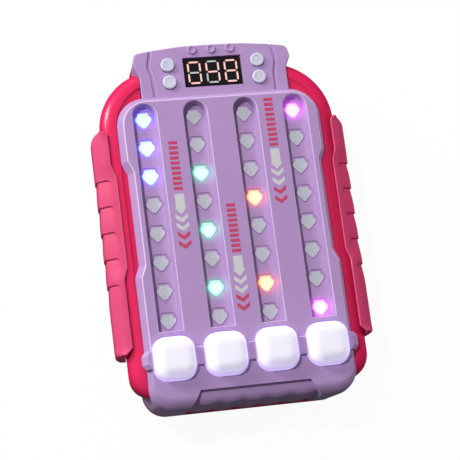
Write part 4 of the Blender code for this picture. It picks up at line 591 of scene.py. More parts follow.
def chin_rings(depth, foot, start_y):
    """Rings from the chin's foot to its flat top, a wall's depth below the outside."""
    half_width = PANEL_HALF_WIDTH - CHIN_STEP
    spring = CHIN_TOP - CHIN_ROUND
    levels = [(foot, 0.0), (spring, 0.0)]
    levels += [(spring + (CHIN_ROUND - depth) * math.sin(turn), (CHIN_ROUND - depth) * (1 - math.cos(turn)))
               for turn in quarter_turns(CHIN_ROLL_STEPS)[1:]]
    rings = []
    centre_x, centre_y = half_width - CHIN_RADIUS, CHIN_FRONT_Y + CHIN_RADIUS
    for z, roll in levels:
        draft = bevel_inset(min(z, PANEL_SEAT), CHIN_TOP)
        side = CHIN_RADIUS - depth - bevel_inset(z, CHIN_TOP - depth)
        front = CHIN_RADIUS - depth - draft - roll
        half = [(centre_x + side, start_y), (centre_x + side, centre_y)]
        half += [(centre_x + side * math.cos(turn), centre_y - front * math.sin(turn))
                 for turn in quarter_turns(CHIN_CORNER_STEPS)[1:]]
        ring = half + [(-x, y) for x, y in reversed(half)]
        rings.append([(x, y, z) for x, y in reversed(ring)])
    return rings


# %% The finger recess and its flutes
RECESS_TOP_Y = -77.2 * MM
RECESS_TOP_HALF_WIDTH = 24.7 * MM
RECESS_FOOT_HALF_WIDTH = 30.0 * MM
RECESS_DEPTH = 1.9 * MM
FLUTES = 5
FLUTE_PITCH = 11.2 * MM
FLUTE_HEIGHT = 0.75 * MM
RECESS_STEPS = 90


def flute(x):
    turns = abs(x) / FLUTE_PITCH
    return 0.0 if turns > FLUTES / 2 else FLUTE_HEIGHT * abs(math.cos(math.pi * turns))


def recess_tool():
    """A trapezoid that follows the chin's roll at an even depth, with rounded flutes down its floor."""
    radius = CHIN_ROUND - RECESS_DEPTH
    centre_y, centre_z = CHIN_FRONT_Y + CHIN_ROUND, CHIN_TOP - CHIN_ROUND
    roll = [(centre_y - radius * math.sin(turn), centre_z + radius * math.cos(turn), math.sin(turn))
            for turn in quarter_turns(CHIN_ROLL_STEPS)]
    rings = []
    for step in range(RECESS_STEPS + 1):
        share = 2 * step / RECESS_STEPS - 1
        ripple = flute(share * RECESS_FOOT_HALF_WIDTH)
        section = [(RECESS_TOP_Y, CHIN_TOP + OVERRUN), (RECESS_TOP_Y, roll[0][1])]
        section += [(min(y, RECESS_TOP_Y) - ripple * down, z) for y, z, down in roll[1:]]
        section += [(CHIN_FRONT_Y + RECESS_DEPTH - ripple, CHIN_FOOT - OVERRUN),
                    (CHIN_FRONT_Y - OVERRUN, CHIN_FOOT - OVERRUN),
                    (CHIN_FRONT_Y - OVERRUN, CHIN_TOP + OVERRUN)]
        ring = []
        for y, z in section:
            way = min(max((RECESS_TOP_Y - y) / (RECESS_TOP_Y - CHIN_FRONT_Y), 0), 1)
            width = RECESS_TOP_HALF_WIDTH + (RECESS_FOOT_HALF_WIDTH - RECESS_TOP_HALF_WIDTH) * way
            ring.append((share * width, y, z))
        rings.append(ring)
    return skin("recess_tool", [rings])


# %% Key band, slots, gems and grooves
TAB_RADIUS = 0.6 * MM
BAND_DRAW_IN = PANEL_BEVEL * 0.7
GEM_SHARES = ((0.17, -1.0, 0.1), (0.9, -0.14, 0.12), (1.0, 0.22, 0.1), (0.84, 0.5, 0.06), (0.68, 0.6, 0.04),
              (0.62, 1.0, 0.06))
GROOVE_FLOOR_SHARE = 0.25
GROOVE_FLANK_SHARE = 0.85
GROOVE_LIP_SHARE = 1.15
GROOVE_LIP = 0.02 * MM


def key_band():
    """The raised band: each ring is the tabbed outline, drawn in where it climbs over the panel's edge."""
    def ring(draw_in, shrink, z):
        reach, edge, half = PANEL_HALF_WIDTH + TAB_REACH - draw_in, PANEL_HALF_WIDTH - draw_in, BAND_WIDTH / 2
        tab = half - TAB_CHAMFER
        outline = [(edge, -half, 0), (reach, -tab, TAB_RADIUS), (reach, tab, TAB_RADIUS), (edge, half, 0)]
        outline = [(x, KEY_Y + y, radius) for x, y, radius in outline]
        return [(x, y, z) for x, y in rounded_path(offset_outline(mirrored(outline), shrink), 4)]
    rings = [ring(0, 0, RIM_CLEAR), ring(0, 0, BAND_TOP - TAB_DROP),
             ring(BAND_DRAW_IN, 0, BAND_TOP - BAND_CHAMFER)]
    return rings + [ring(BAND_DRAW_IN, BAND_CHAMFER * (1 - math.cos(turn)),
                         BAND_TOP - BAND_CHAMFER * (1 - math.sin(turn)))
                    for turn in quarter_turns(EDGE_STEPS)[1:]]


def slot_rings(x):
    """A slot with a rounded lip at the top and a small fillet along its floor."""
    half, draft = SLOT_WIDTH / 2, (SLOT_WIDTH - SLOT_FLOOR_WIDTH) / 2
    plan = [(x - half, SLOT_FRONT_Y, 0), (x + half, SLOT_FRONT_Y, 0), (x + half, SLOT_TOP_Y, half),
            (x - half, SLOT_TOP_Y, half)]
    side_view = [(draft + 2 * SLOT_FILLET, SLOT_FLOOR, 0), (draft, SLOT_FLOOR, SLOT_FILLET),
                 (0, PANEL_TOP, SLOT_LIP), (-2 * SLOT_LIP, PANEL_TOP, 0),
                 (-2 * SLOT_LIP, PANEL_TOP + OVERRUN, 0)]
    return stack(plan, edge_levels(side_view))


def gem_outline(x, y):
    return [(x + share_x * GEM_WIDTH / 2, y + share_y * GEM_HEIGHT / 2, radius * GEM_WIDTH / 2)
            for share_x, share_y, radius in mirrored(list(GEM_SHARES))]


def groove_rings(side):
    """A V along the zigzag, mitred at its bends and eased at its lips."""
    length, half = HEAD_TOP_Y - HEAD_START_Y, GROOVE_WIDTH / 2
    path = [Vector((side * x * HEAD_HALF_WIDTH, HEAD_START_Y + y * length)) for x, y in GROOVE_SHARES]
    right = [(GROOVE_FLOOR_SHARE, -GROOVE_DEPTH), (GROOVE_FLANK_SHARE, -GROOVE_DEPTH * 0.1),
             (GROOVE_LIP_SHARE, GROOVE_LIP), (GROOVE_LIP_SHARE, OVERRUN)]
    left = [(-way, up) for way, up in right]
    rings = []
    for at, here in enumerate(path):
        arriving = (here - path[at - 1]).normalized() if at else (path[1] - here).normalized()
        leaving = (path[at + 1] - here).normalized() if at + 1 < len(path) else arriving
        across = (arriving + leaving).normalized()
        across = Vector((-across.y, across.x)) / across.dot(arriving)
        rings.append([(here.x + across.x * half * way, here.y + across.y * half * way, HEAD_TOP + up)
                      for way, up in left[:1] + right + left[:0:-1]])
    return rings


# %% The three studs over the display
STUD_DIAMETER = 3.9 * MM
STUD_HEIGHT = 0.8 * MM
STUD_DIMPLE = 0.35 * MM
STUD_PITCH = 8.8 * MM
STUD_Y = 77.0 * MM
STUD_FLARE = 0.15 * MM


def stud(number):
    """A small round stud with an eased rim and a dished top."""
    radius, top = STUD_DIAMETER / 2, HEAD_TOP + STUD_HEIGHT
    dimple = top - STUD_DIMPLE
    profile = [(radius + 2 * STUD_FLARE, HEAD_TOP - MM, 0), (radius + STUD_FLARE, HEAD_TOP, 0),
               (radius, top, 0.3 * MM), (0.7 * radius, top, 0.15 * MM), (0.55 * radius, dimple, 0.1 * MM),
               (0.1 * radius, dimple, 0)]
    return turned((number - 1) * STUD_PITCH, STUD_Y, rounded_path(profile, 4, closed=False), 32)


# %% Put the lilac face together
def add_to_face(face):
    """The forms that stand on the lane panel or hang below it."""
    join(face, "chin", [chin_rings(0.0, CHIN_FOOT, CHIN_START_Y)])
    join(face, "key_band", [key_band()])
    trough = [(TROUGH_FOOT, SKIN_THICK), (PANEL_SEAT + OVERRUN, SKIN_THICK)]
    join(face, "trough_block", [stack(panel_outline(SLOT_FRONT_Y - OVERRUN), trough)])
    head_side = [(HEAD_DRAFT, HEAD_FOOT, 0), (0, HEAD_TOP, HEAD_EDGE), (3 * HEAD_EDGE, HEAD_TOP, 0)]
    join(face, "head", [stack(head_outline(), edge_levels(head_side)[:-1])])
    inside = offset_outline(head_outline(PANEL_TOP_Y - SKIN_THICK), SKIN_THICK)
    cut(face, "head_space", [stack(inside, [(HEAD_FOOT - OVERRUN, HEAD_DRAFT), (HEAD_TOP - SKIN_THICK, 0)])])
    join(face, "studs", [stud(number) for number in range(3)])
    cut(face, "chin_space", [chin_rings(CHIN_WALL, CHIN_FOOT - OVERRUN, KEY_Y)])


def cut_lanes(face):
    """Slots, the pockets round the gems and the holes that the gems come up through."""
    cut(face, "slots", [slot_rings(x) for x in lane_x])
    places = [(x, y) for x in lane_x for y in lens_y]
    recess = [(SLOT_FLOOR - GEM_RECESS_DEPTH, -GEM_RECESS * 0.7), (SLOT_FLOOR, -GEM_RECESS),
              (SLOT_FLOOR + OVERRUN, -GEM_RECESS)]
    hole = [(TROUGH_FOOT - OVERRUN, -GEM_GAP), (SLOT_FLOOR + OVERRUN / 2, -GEM_GAP)]
    for name, levels in (("gem_recesses", recess), ("gem_holes", hole)):
        cut(face, name, [stack(gem_outline(x, y), levels, 3) for x, y in places])


def cut_keys_and_head(face):
    """Key wells, finger recess, grooves, display window and the bores of the round buttons."""
    pocket, pocket_radius = KEY_WIDTH + 2 * (KEY_FLANGE + KEY_GAP), KEY_RADIUS + KEY_FLANGE + KEY_GAP
    opening = KEY_WIDTH + 2 * KEY_GAP
    cut(face, "key_pockets", [stack(rectangle(x, KEY_Y, pocket, pocket, pocket_radius), [
        (TROUGH_FOOT - OVERRUN, 0), (KEY_CEILING, 0)], 6) for x in lane_x])
    cut(face, "key_openings", [stack(rectangle(x, KEY_Y, opening, opening, KEY_RADIUS + KEY_GAP), [
        (KEY_CEILING - OVERRUN, 0), (BAND_TOP + OVERRUN, 0)]) for x in lane_x])
    carve(face, recess_tool())
    cut(face, "grooves", [groove_rings(side) for side in (-1, 1)])
    ceiling = HEAD_TOP - SKIN_THICK
    window = rectangle(0, WINDOW_Y, WINDOW_WIDTH, WINDOW_HEIGHT, WINDOW_BEVEL)
    cut(face, "window", [stack(window, [(ceiling - OVERRUN, WINDOW_BEVEL), (ceiling, WINDOW_BEVEL), (
        HEAD_TOP + OVERRUN, -WINDOW_BEVEL * (OVERRUN / SKIN_THICK))], 4)])
    bore = BUTTON_DIAMETER / 2 + BUTTON_GAP
    cut(face, "button_bores", [turned(side * BUTTON_X, BUTTON_Y + row * BUTTON_PITCH / 2, [
        (bore, ceiling - OVERRUN), (bore, HEAD_TOP + OVERRUN)]) for side in (-1, 1) for row in (-1, 1)])


panel_side = [(0, PANEL_SEAT, 0), (PANEL_BEVEL, PANEL_TOP, PANEL_EDGE), (3 * PANEL_BEVEL, PANEL_TOP, 0)]
face = skin("lilac_face", [stack(panel_outline(), edge_levels(panel_side)[:-1])])
for step in (add_to_face, cut_lanes, cut_keys_and_head):
    step(face)
dress(face, LILAC, "case", "lilac_abs", "face_panel")

# %% [markdown]
# The crimson case is two mouldings that meet on a parting line: a glossy rim with a round edge and a bed for
# the lilac face, and a back shell with a wide rounding, a tongue behind the display head and a foot behind
# the chin. Both follow one rounded outline, drafted a little below the rim so the mould can let go of it.

# %% Sizes of the case
BODY_HALF_WIDTH = 54.1 * MM
BODY_TOP_Y = 70.0 * MM
BODY_FRONT_Y = -78.3 * MM
BODY_TOP_RADIUS = 28.0 * MM
BODY_FRONT_RADIUS = 11.5 * MM
BODY_DRAFT = 0.17
BODY_PLAN_STEPS = 20
BACK_HEIGHT = 12.0 * MM
BACK_FLOOR = 2.8 * MM
BACK_ROUND = 6.5 * MM
WALL = 2.3 * MM
RIM_SPRING = 22.8 * MM
RIM_ROUND = 5.5 * MM
BED_Z = 27.7 * MM
BED_INSET = 7.0 * MM
BED_THICK = 2.0 * MM
BED_LEDGE = 1.4 * MM
SEAM = 0.3 * MM
SEAM_ROUND = 0.35 * MM
SEAM_EASE_SHARE = 0.3
ROUND_STEPS = 12
TONGUE_START_Y = 60.0 * MM
TONGUE_BASE = 4.0 * MM
TONGUE_BASE_INSET = 3.0 * MM
LIP_THICK = 1.3 * MM
LIP_HEIGHT = 2.0 * MM
SPEAKER_Y = 12.0 * MM
SPEAKER_DIAMETER = 36.0 * MM
GRILLE_SLOTS = 5
GRILLE_SLOT_WIDTH = 2.2 * MM
GRILLE_PITCH = 5.6 * MM
GRILLE_RING = 3.0 * MM


def body_inset(z):
    return BODY_DRAFT * max(RIM_SPRING - z, 0)


def body_outline():
    return mirrored([(BODY_HALF_WIDTH, BODY_FRONT_Y, BODY_FRONT_RADIUS),
                     (BODY_HALF_WIDTH, BODY_TOP_Y, BODY_TOP_RADIUS)])


def body_stack(levels):
    return stack(body_outline(), levels, BODY_PLAN_STEPS)


# %% Make the glossy rim
def make_rim():
    foot = BACK_HEIGHT + SEAM
    ease = SEAM_EASE_SHARE * SEAM_ROUND
    levels = [(foot, body_inset(foot) + SEAM_ROUND), (foot + ease, body_inset(foot) + ease),
              (foot + SEAM_ROUND, body_inset(foot + SEAM_ROUND))]
    levels += [(RIM_SPRING + RIM_ROUND * math.sin(turn), BED_INSET * (1 - math.cos(turn)))
               for turn in quarter_turns(ROUND_STEPS)]
    levels += [(BED_Z + 0.1 * MM, BED_INSET + 0.15 * MM), (BED_Z, BED_INSET + 0.3 * MM),
               (BED_Z, BED_INSET + WALL)]
    rim = skin("crimson_rim", [body_stack(levels)])
    low = BACK_HEIGHT - OVERRUN
    cut(rim, "rim_space", [body_stack([(low, WALL + body_inset(low)), (RIM_SPRING, WALL),
                                       (BED_Z - BED_THICK, WALL + BED_THICK)])])
    opening = panel_outline(BODY_FRONT_Y + WALL + BED_LEDGE)
    cut(rim, "rim_opening", [stack(opening, [(BACK_HEIGHT, BED_LEDGE), (PANEL_TOP, BED_LEDGE)])])
    widest = max(head_outline())[1]
    space = [(x, y, radius) for x, y, radius in head_outline() if x > 0 and y <= widest]
    space = mirrored(space + [(HEAD_HALF_WIDTH, HEAD_TOP_Y + OVERRUN, 0)])
    cut(rim, "rim_head_space", [stack(offset_outline(space, -SEAM), [(0, 0), (PANEL_TOP, 0)])])
    reach = PANEL_HALF_WIDTH + SEAM
    front = BODY_FRONT_Y - OVERRUN
    seat = [(-reach, front, 0), (reach, front, 0), (reach, CHIN_START_Y, 0), (-reach, CHIN_START_Y, 0)]
    cut(rim, "rim_chin_seat", [stack(seat, [(BED_Z, 0), (PANEL_TOP, 0)])])
    return rim


dress(make_rim(), CRIMSON, "case", "crimson_abs", "rim_frame")

# %% [markdown]
# The back of the toy is never in the picture, but it is what a hand meets: a floor with a wide rounding,
# sound slots over the speaker, six deep screw wells, and a battery door held by one screw. The back is matt,
# because the mould is etched there to hide scratches.

# %% Battery sizes shared by the back shell and its door
BAY_Y = -44.5 * MM
CELLS = 3
CELL_LENGTH = 43.7 * MM
CELL_NUB = 0.8 * MM
CELL_DIAMETER = 10.2 * MM
CELL_PITCH = 11.0 * MM
CELL_END_SPACE = 3.4 * MM
BAY_WALL = 1.6 * MM
DOOR_THICK = 1.5 * MM
DOOR_LEDGE = 2.0 * MM
DOOR_RADIUS = 2.0 * MM
DOOR_TAB_LENGTH = 8.0 * MM
DOOR_TAB_HALF_WIDTH = 5.0 * MM
DOOR_EDGE = 0.3 * MM
CASE_SCREWS = [(side * x, y) for side in (-1, 1) for x, y in
               ((42.0 * MM, 36.0 * MM), (42.0 * MM, -47.4 * MM), (28.2 * MM, 69.4 * MM))]
SCREW_DIAMETER = 2.3 * MM
SCREW_HEAD = 4.4 * MM
SCREW_SEAT = 8.0 * MM
DOOR_SCREW_SEAT = 2.2 * MM
DOOR_CUP_WALL = 0.9 * MM
DOOR_BOSS_HEIGHT = 9.0 * MM
THUMB_GROOVES = 3
THUMB_LENGTH = 18.0 * MM
THUMB_WIDTH = 1.2 * MM
THUMB_DEPTH = 0.5 * MM
THUMB_PITCH = 2.6 * MM
BOSS_DIAMETER = 7.2 * MM
POST_FOOT = 16.0 * MM
SPEAKER_RING_HEIGHT = 3.0 * MM
CONTACT_THICK = 0.5 * MM
CONTACT_TAIL = 3.0 * MM
DOOR_SCREW_Y = BAY_Y + CELLS * CELL_PITCH / 2 + DOOR_LEDGE + DOOR_TAB_LENGTH / 2


def door_outline():
    half_x = (CELL_LENGTH + CELL_NUB) / 2 + CELL_END_SPACE + DOOR_LEDGE
    half_y = CELLS * CELL_PITCH / 2 + DOOR_LEDGE
    top = BAY_Y + half_y
    return mirrored([(half_x, BAY_Y - half_y, DOOR_RADIUS), (half_x, top, DOOR_RADIUS),
                     (DOOR_TAB_HALF_WIDTH, top, DOOR_RADIUS / 2),
                     (DOOR_TAB_HALF_WIDTH, top + DOOR_TAB_LENGTH, DOOR_RADIUS)])


def grille_outlines():
    """Round-ended sound slots, each as long as the cone's circle allows."""
    reach = SPEAKER_DIAMETER / 2 - GRILLE_RING
    outlines = []
    for number in range(GRILLE_SLOTS):
        along = (number - (GRILLE_SLOTS - 1) / 2) * GRILLE_PITCH
        length = 2 * math.sqrt(reach ** 2 - along ** 2)
        outlines.append(rectangle(0, SPEAKER_Y + along, length, GRILLE_SLOT_WIDTH, GRILLE_SLOT_WIDTH / 2))
    return outlines


# %% Make the back shell
def make_back():
    levels = [(BACK_ROUND * (1 - math.cos(turn)), BACK_ROUND * (1 - math.sin(turn)) + body_inset(BACK_ROUND))
              for turn in quarter_turns(ROUND_STEPS)]
    ease = SEAM_EASE_SHARE * SEAM_ROUND
    levels += [(BACK_HEIGHT - SEAM_ROUND, body_inset(BACK_HEIGHT - SEAM_ROUND)),
               (BACK_HEIGHT - ease, body_inset(BACK_HEIGHT) + ease),
               (BACK_HEIGHT, body_inset(BACK_HEIGHT) + SEAM_ROUND)]
    back = skin("crimson_back", [body_stack(levels)])
    tongue_side = [(TONGUE_BASE_INSET + OVERRUN, TONGUE_BASE, 0), (TONGUE_BASE_INSET, TONGUE_BASE, 0),
                   (HEAD_DRAFT + SEAM, BACK_ROUND, 1.5 * MM), (HEAD_DRAFT, HEAD_FOOT - SEAM, 0)]
    join(back, "tongue", [stack(head_outline(TONGUE_START_Y), edge_levels(tongue_side)[1:])])
    foot = [(0.0, WALL), (0.25 * CHIN_FOOT, CHIN_FOOT_DRAFT + 0.3 * MM), (CHIN_FOOT / 2, CHIN_FOOT_DRAFT),
            (CHIN_FOOT - SEAM, CHIN_FOOT_DRAFT)]
    half_width = PANEL_HALF_WIDTH - CHIN_STEP
    outline = mirrored([(half_width, CHIN_FRONT_Y, CHIN_RADIUS), (half_width, KEY_Y, 0)])
    join(back, "chin_foot", [stack(outline, foot)])
    lip_inset = WALL + SEAM + body_inset(BACK_HEIGHT)
    carve(back, skin("lip", [body_stack([(BACK_HEIGHT - LIP_HEIGHT, lip_inset),
                                         (BACK_HEIGHT + LIP_HEIGHT, lip_inset)])]), "UNION")
    inside = lip_inset + LIP_THICK
    cut(back, "back_space", [body_stack([(BACK_FLOOR, BACK_ROUND + WALL), (BACK_ROUND, inside),
                                         (BACK_HEIGHT + LIP_HEIGHT + OVERRUN, inside)])])
    carve(back, skin("tongue_space", [stack(head_outline(TONGUE_START_Y - OVERRUN), [
        (BACK_ROUND + SKIN_THICK, TONGUE_BASE_INSET), (HEAD_FOOT + OVERRUN, HEAD_DRAFT + SKIN_THICK)])]))
    return back


def carve_back(back):
    """Battery bay, speaker ring, screw wells, door recess and sound slots."""
    bay_x, bay_y = CELL_LENGTH + CELL_NUB + 2 * CELL_END_SPACE, CELLS * CELL_PITCH
    ceiling = DOOR_THICK + SEAM + CELL_DIAMETER + SEAM
    bay = rectangle(0, BAY_Y, bay_x + 2 * BAY_WALL, bay_y + 2 * BAY_WALL)
    join(back, "bay_walls", [stack(bay, [(BACK_FLOOR / 2, 0), (ceiling + BAY_WALL, 0)])])
    boss = [(BOSS_DIAMETER / 2, BACK_FLOOR / 2), (BOSS_DIAMETER / 2, POST_FOOT - SEAM)]
    join(back, "bosses", [turned(x, y, boss, 24) for x, y in CASE_SCREWS])
    ring, top = SPEAKER_DIAMETER / 2 + SEAM, BACK_FLOOR + SPEAKER_RING_HEIGHT
    carve(back, skin("speaker_ring", [turned(0, SPEAKER_Y, [
        (ring, BACK_FLOOR / 2), (ring + BAY_WALL, BACK_FLOOR / 2), (ring + BAY_WALL, top), (ring, top)])],
        ring_shaped=True), "UNION")
    cup = SCREW_HEAD / 2 + SEAM + DOOR_CUP_WALL + SEAM
    carve(back, skin("door_boss", [turned(0, DOOR_SCREW_Y, [
        (cup + BAY_WALL, BACK_FLOOR / 2), (cup + BAY_WALL, DOOR_BOSS_HEIGHT)], 24)]), "UNION")
    cut(back, "bay_hollow", [stack(rectangle(0, BAY_Y, bay_x, bay_y), [(-OVERRUN, 0), (ceiling, 0)])])
    carve(back, skin("door_recess", [stack(offset_outline(door_outline(), -SEAM), [
        (-OVERRUN, -DOOR_EDGE), (0, -DOOR_EDGE), (DOOR_EDGE, 0), (DOOR_THICK + SEAM, 0)], 6)]))
    tail_x = bay_x / 2 - SEAM - CONTACT_THICK / 2
    rows = BAY_Y + (CELLS - 1) / 2 * CELL_PITCH, BAY_Y - (CELLS - 1) / 2 * CELL_PITCH
    tails = [rectangle(side * tail_x, y, CONTACT_THICK + 2 * SEAM, CONTACT_TAIL + 2 * SEAM)
             for side, y in zip((-1, 1), rows)]
    through = [(ceiling - OVERRUN / 2, 0), (ceiling + BAY_WALL + OVERRUN, 0)]
    cut(back, "tail_slots", [stack(tail, through) for tail in tails])
    head, shank = SCREW_HEAD / 2 + SEAM, SCREW_DIAMETER / 2 + SEAM
    well = [(head + DOOR_EDGE, -OVERRUN), (head + DOOR_EDGE, 0), (head, DOOR_EDGE), (head, SCREW_SEAT),
            (shank, SCREW_SEAT), (shank, POST_FOOT + OVERRUN)]
    cut(back, "screw_wells", [turned(x, y, well, 24) for x, y in CASE_SCREWS])
    cup_top = DOOR_SCREW_SEAT + DOOR_CUP_WALL + SEAM
    carve(back, skin("door_screw_well", [turned(0, DOOR_SCREW_Y, [(cup, -OVERRUN), (cup, cup_top), (
        shank, cup_top), (shank, DOOR_BOSS_HEIGHT - DOOR_CUP_WALL)], 24)]))
    carve(back, skin("sound_slots", [stack(outline, [
        (-OVERRUN, -SLOT_LIP), (0, -SLOT_LIP), (SLOT_LIP, 0), (BACK_FLOOR + OVERRUN, 0)], 8)
        for outline in grille_outlines()]))
    return back


BACK = moulded_plastic("etched_crimson_abs", "D62257", "C81E4E", 0.7 * MM, 0.05 * MM, 0.46)
dress(carve_back(make_back()), BACK, "case", "crimson_abs", "rear_cover")


# %% Make the battery door
def make_door():
    """A lid with an eased edge, a cup for its screw and three thumb grooves."""
    edge = [(0, 2 * DOOR_EDGE), (0.1 * DOOR_EDGE, 0.5 * DOOR_EDGE), (DOOR_EDGE, 0), (DOOR_THICK, 0)]
    door = skin("battery_lid", [stack(door_outline(), edge, 6)])
    head, shank = SCREW_HEAD / 2 + SEAM, SCREW_DIAMETER / 2 + SEAM
    cup_top = DOOR_SCREW_SEAT + DOOR_CUP_WALL
    carve(door, skin("screw_cup", [turned(0, DOOR_SCREW_Y, [
        (head + DOOR_CUP_WALL, DOOR_THICK / 2), (head + DOOR_CUP_WALL, cup_top)], 24)]), "UNION")
    carve(door, skin("screw_hole", [turned(0, DOOR_SCREW_Y, [
        (head + DOOR_EDGE, -OVERRUN), (head + DOOR_EDGE, 0), (head, DOOR_EDGE), (head, DOOR_SCREW_SEAT),
        (shank, DOOR_SCREW_SEAT), (shank, cup_top + OVERRUN)], 24)]))
    grooves = [rectangle(0, BAY_Y - number * THUMB_PITCH, THUMB_LENGTH, THUMB_WIDTH, THUMB_WIDTH / 2)
               for number in range(THUMB_GROOVES)]
    hollow = [(-OVERRUN, -0.2 * MM), (0, -0.2 * MM), (0.2 * MM, 0), (THUMB_DEPTH, 0.4 * MM)]
    return carve(door, skin("thumb_grooves", [stack(groove, hollow, 4) for groove in grooves]))


dress(make_door(), BACK, "case", "crimson_abs", "battery_door")

# %% [markdown]
# Each side grip is a soft-touch strip that hugs the round rim. Its section is a crest strip, a crease and a
# side plane. Along its middle run five finger ribs: each starts at a hooked step, set back a little, and
# swells to its full height where the next one starts. So a grip is one swept skin: sections at closely spaced
# stations, with a rib depth that depends on the place along and across the strip.

# %% Sizes of the grips
GRIP_BULGE = 4.7 * MM
GRIP_TOP_Y = 43.2 * MM
GRIP_FRONT_Y = -59.4 * MM
GRIP_CHANNEL = 4.5 * MM
GRIP_END_THICK = 0.9 * MM
GRIP_TOP_ROUND = 5.5 * MM
GRIP_FRONT_ROUND = 2.2 * MM
GRIP_TOP_BEVEL = 3.2 * MM
GRIP_FRONT_BEVEL = 3.8 * MM
GRIP_CREST = 28.9 * MM
GRIP_CREST_WIDTH = 3.0 * MM
GRIP_CREST_DROP = 1.25 * MM
GRIP_SHOULDER_DROP = 5.6 * MM
GRIP_DRAFT = 1.2 * MM
GRIP_BOTTOM_CHAMFER = 1.6 * MM
GRIP_INNER_STEPS = 10
GRIP_OUTER_POINTS = 52
RIBS = 5
RIB_TOP_Y = 19.9 * MM
RIB_PITCH = 11.8 * MM
RIB_DEPTH = 0.8 * MM
RIB_STRIP = 3.3 * MM
RIB_HOOK = 2.6 * MM
RIB_STEP = 0.3 * MM
RIB_STATION = 0.24 * MM
PLAIN_STATION = 0.9 * MM


def smooth_step(low, high, value):
    share = min(max((value - low) / (high - low), 0), 1)
    return share * share * (3 - 2 * share)


# %% Ribs and sections of a grip
def rib_cut(y, across):
    """How far a grip is set back, at a place along it and a distance across it from its crest."""
    below = RIB_TOP_Y + RIB_STEP - y
    if below < 0 or below >= RIBS * RIB_PITCH:
        return 0.0
    below %= RIB_PITCH
    step = smooth_step(0, RIB_STEP, below)
    swell = 1 - math.sin(math.pi / 2 * min(below / (0.8 * RIB_PITCH), 1))
    edge = RIB_STRIP
    if below < RIB_HOOK:
        edge += RIB_HOOK - math.sqrt(RIB_HOOK ** 2 - (RIB_HOOK - below) ** 2)
    softness = 0.4 * MM + 0.35 * max(below - RIB_HOOK / 2, 0)
    return RIB_DEPTH * step * swell * smooth_step(edge, edge + softness, across)


def grip_inner_edge(y):
    """The grip's crest follows the lilac panel's waist at an even channel."""
    narrow, wide = PANEL_HALF_WIDTH - PANEL_WAIST * 3 / 4, PANEL_HALF_WIDTH
    into_waist = min(WAIST_TOP_Y - y, y - WAIST_FRONT_Y)
    return wide + (narrow - wide) * min(max(into_waist / WAIST_RAMP, 0), 1) + GRIP_CHANNEL


def resampled(points, count):
    """Even points along a path with their distance, so that every section has the same number."""
    runs = [0.0]
    for here, there in zip(points, points[1:]):
        runs.append(runs[-1] + (there - here).length)
    even, at = [], 0
    for number in range(count):
        goal = runs[-1] * number / (count - 1)
        while at < len(points) - 2 and runs[at + 1] < goal:
            at += 1
        span = runs[at + 1] - runs[at] or 1
        even.append((points[at].lerp(points[at + 1], min((goal - runs[at]) / span, 1)), goal))
    return even


def grip_section(y):
    centre_x, inner_x, inner_z = BODY_HALF_WIDTH - BED_INSET, BED_INSET + SEAM, RIM_ROUND + SEAM
    to_top, to_front = (GRIP_TOP_Y - y) / GRIP_TOP_ROUND, (y - GRIP_FRONT_Y) / GRIP_FRONT_ROUND
    fullness = (1 - max(1 - to_top, 0) ** 2) * math.sqrt(max(1 - max(1 - to_front, 0) ** 2, 0))
    bulge = GRIP_END_THICK + (GRIP_BULGE - GRIP_END_THICK) * fullness
    bevel = max(1 - (GRIP_TOP_Y - y) / GRIP_TOP_BEVEL, 0) ** 1.6 * GRIP_TOP_BEVEL
    bevel += max(1 - (y - GRIP_FRONT_Y) / GRIP_FRONT_BEVEL, 0) * GRIP_FRONT_BEVEL
    edge = min(grip_inner_edge(y) + bevel, centre_x + inner_x - 0.2 * MM)
    edge_turn = math.acos((edge - centre_x) / inner_x)
    foot = BACK_HEIGHT + 2 * SEAM
    section = [Vector((centre_x + inner_x - body_inset(foot), foot)),
               Vector((centre_x + inner_x, RIM_SPRING))]
    for step in range(1, GRIP_INNER_STEPS + 1):
        turn = edge_turn * step / GRIP_INNER_STEPS
        section.append(Vector((centre_x + inner_x * math.cos(turn), RIM_SPRING + inner_z * math.sin(turn))))
    side = centre_x + inner_x + bulge - SEAM
    crest = min(GRIP_CREST, section[-1].y + bulge)
    crest_width = min(GRIP_CREST_WIDTH, 0.45 * (side - edge))
    shoulder = min(GRIP_SHOULDER_DROP, crest - RIM_SPRING + 0.8 * MM)
    corners = [(edge, section[-1].y, 0), (edge, crest, 0.45 * MM),
               (edge + crest_width, crest - GRIP_CREST_DROP * fullness, 2.0 * MM),
               (side - 0.3 * MM, crest - shoulder, 2.4 * MM),
               (side - GRIP_DRAFT * fullness, foot + GRIP_BOTTOM_CHAMFER, 0.8 * MM),
               (side - (GRIP_BOTTOM_CHAMFER + GRIP_DRAFT) * fullness, foot, 0)]
    outside = resampled(rounded_path(corners, 8, closed=False), GRIP_OUTER_POINTS)
    for at, (point, run) in enumerate(outside):
        ahead, behind = outside[min(at + 1, len(outside) - 1)][0], outside[max(at - 1, 0)][0]
        along = (ahead - behind).normalized()
        depth = rib_cut(y, run) * (1 - smooth_step(0.86, 0.93, at / len(outside)))
        section.append(point - Vector((abs(along.y), abs(along.x))) * depth)
    return section


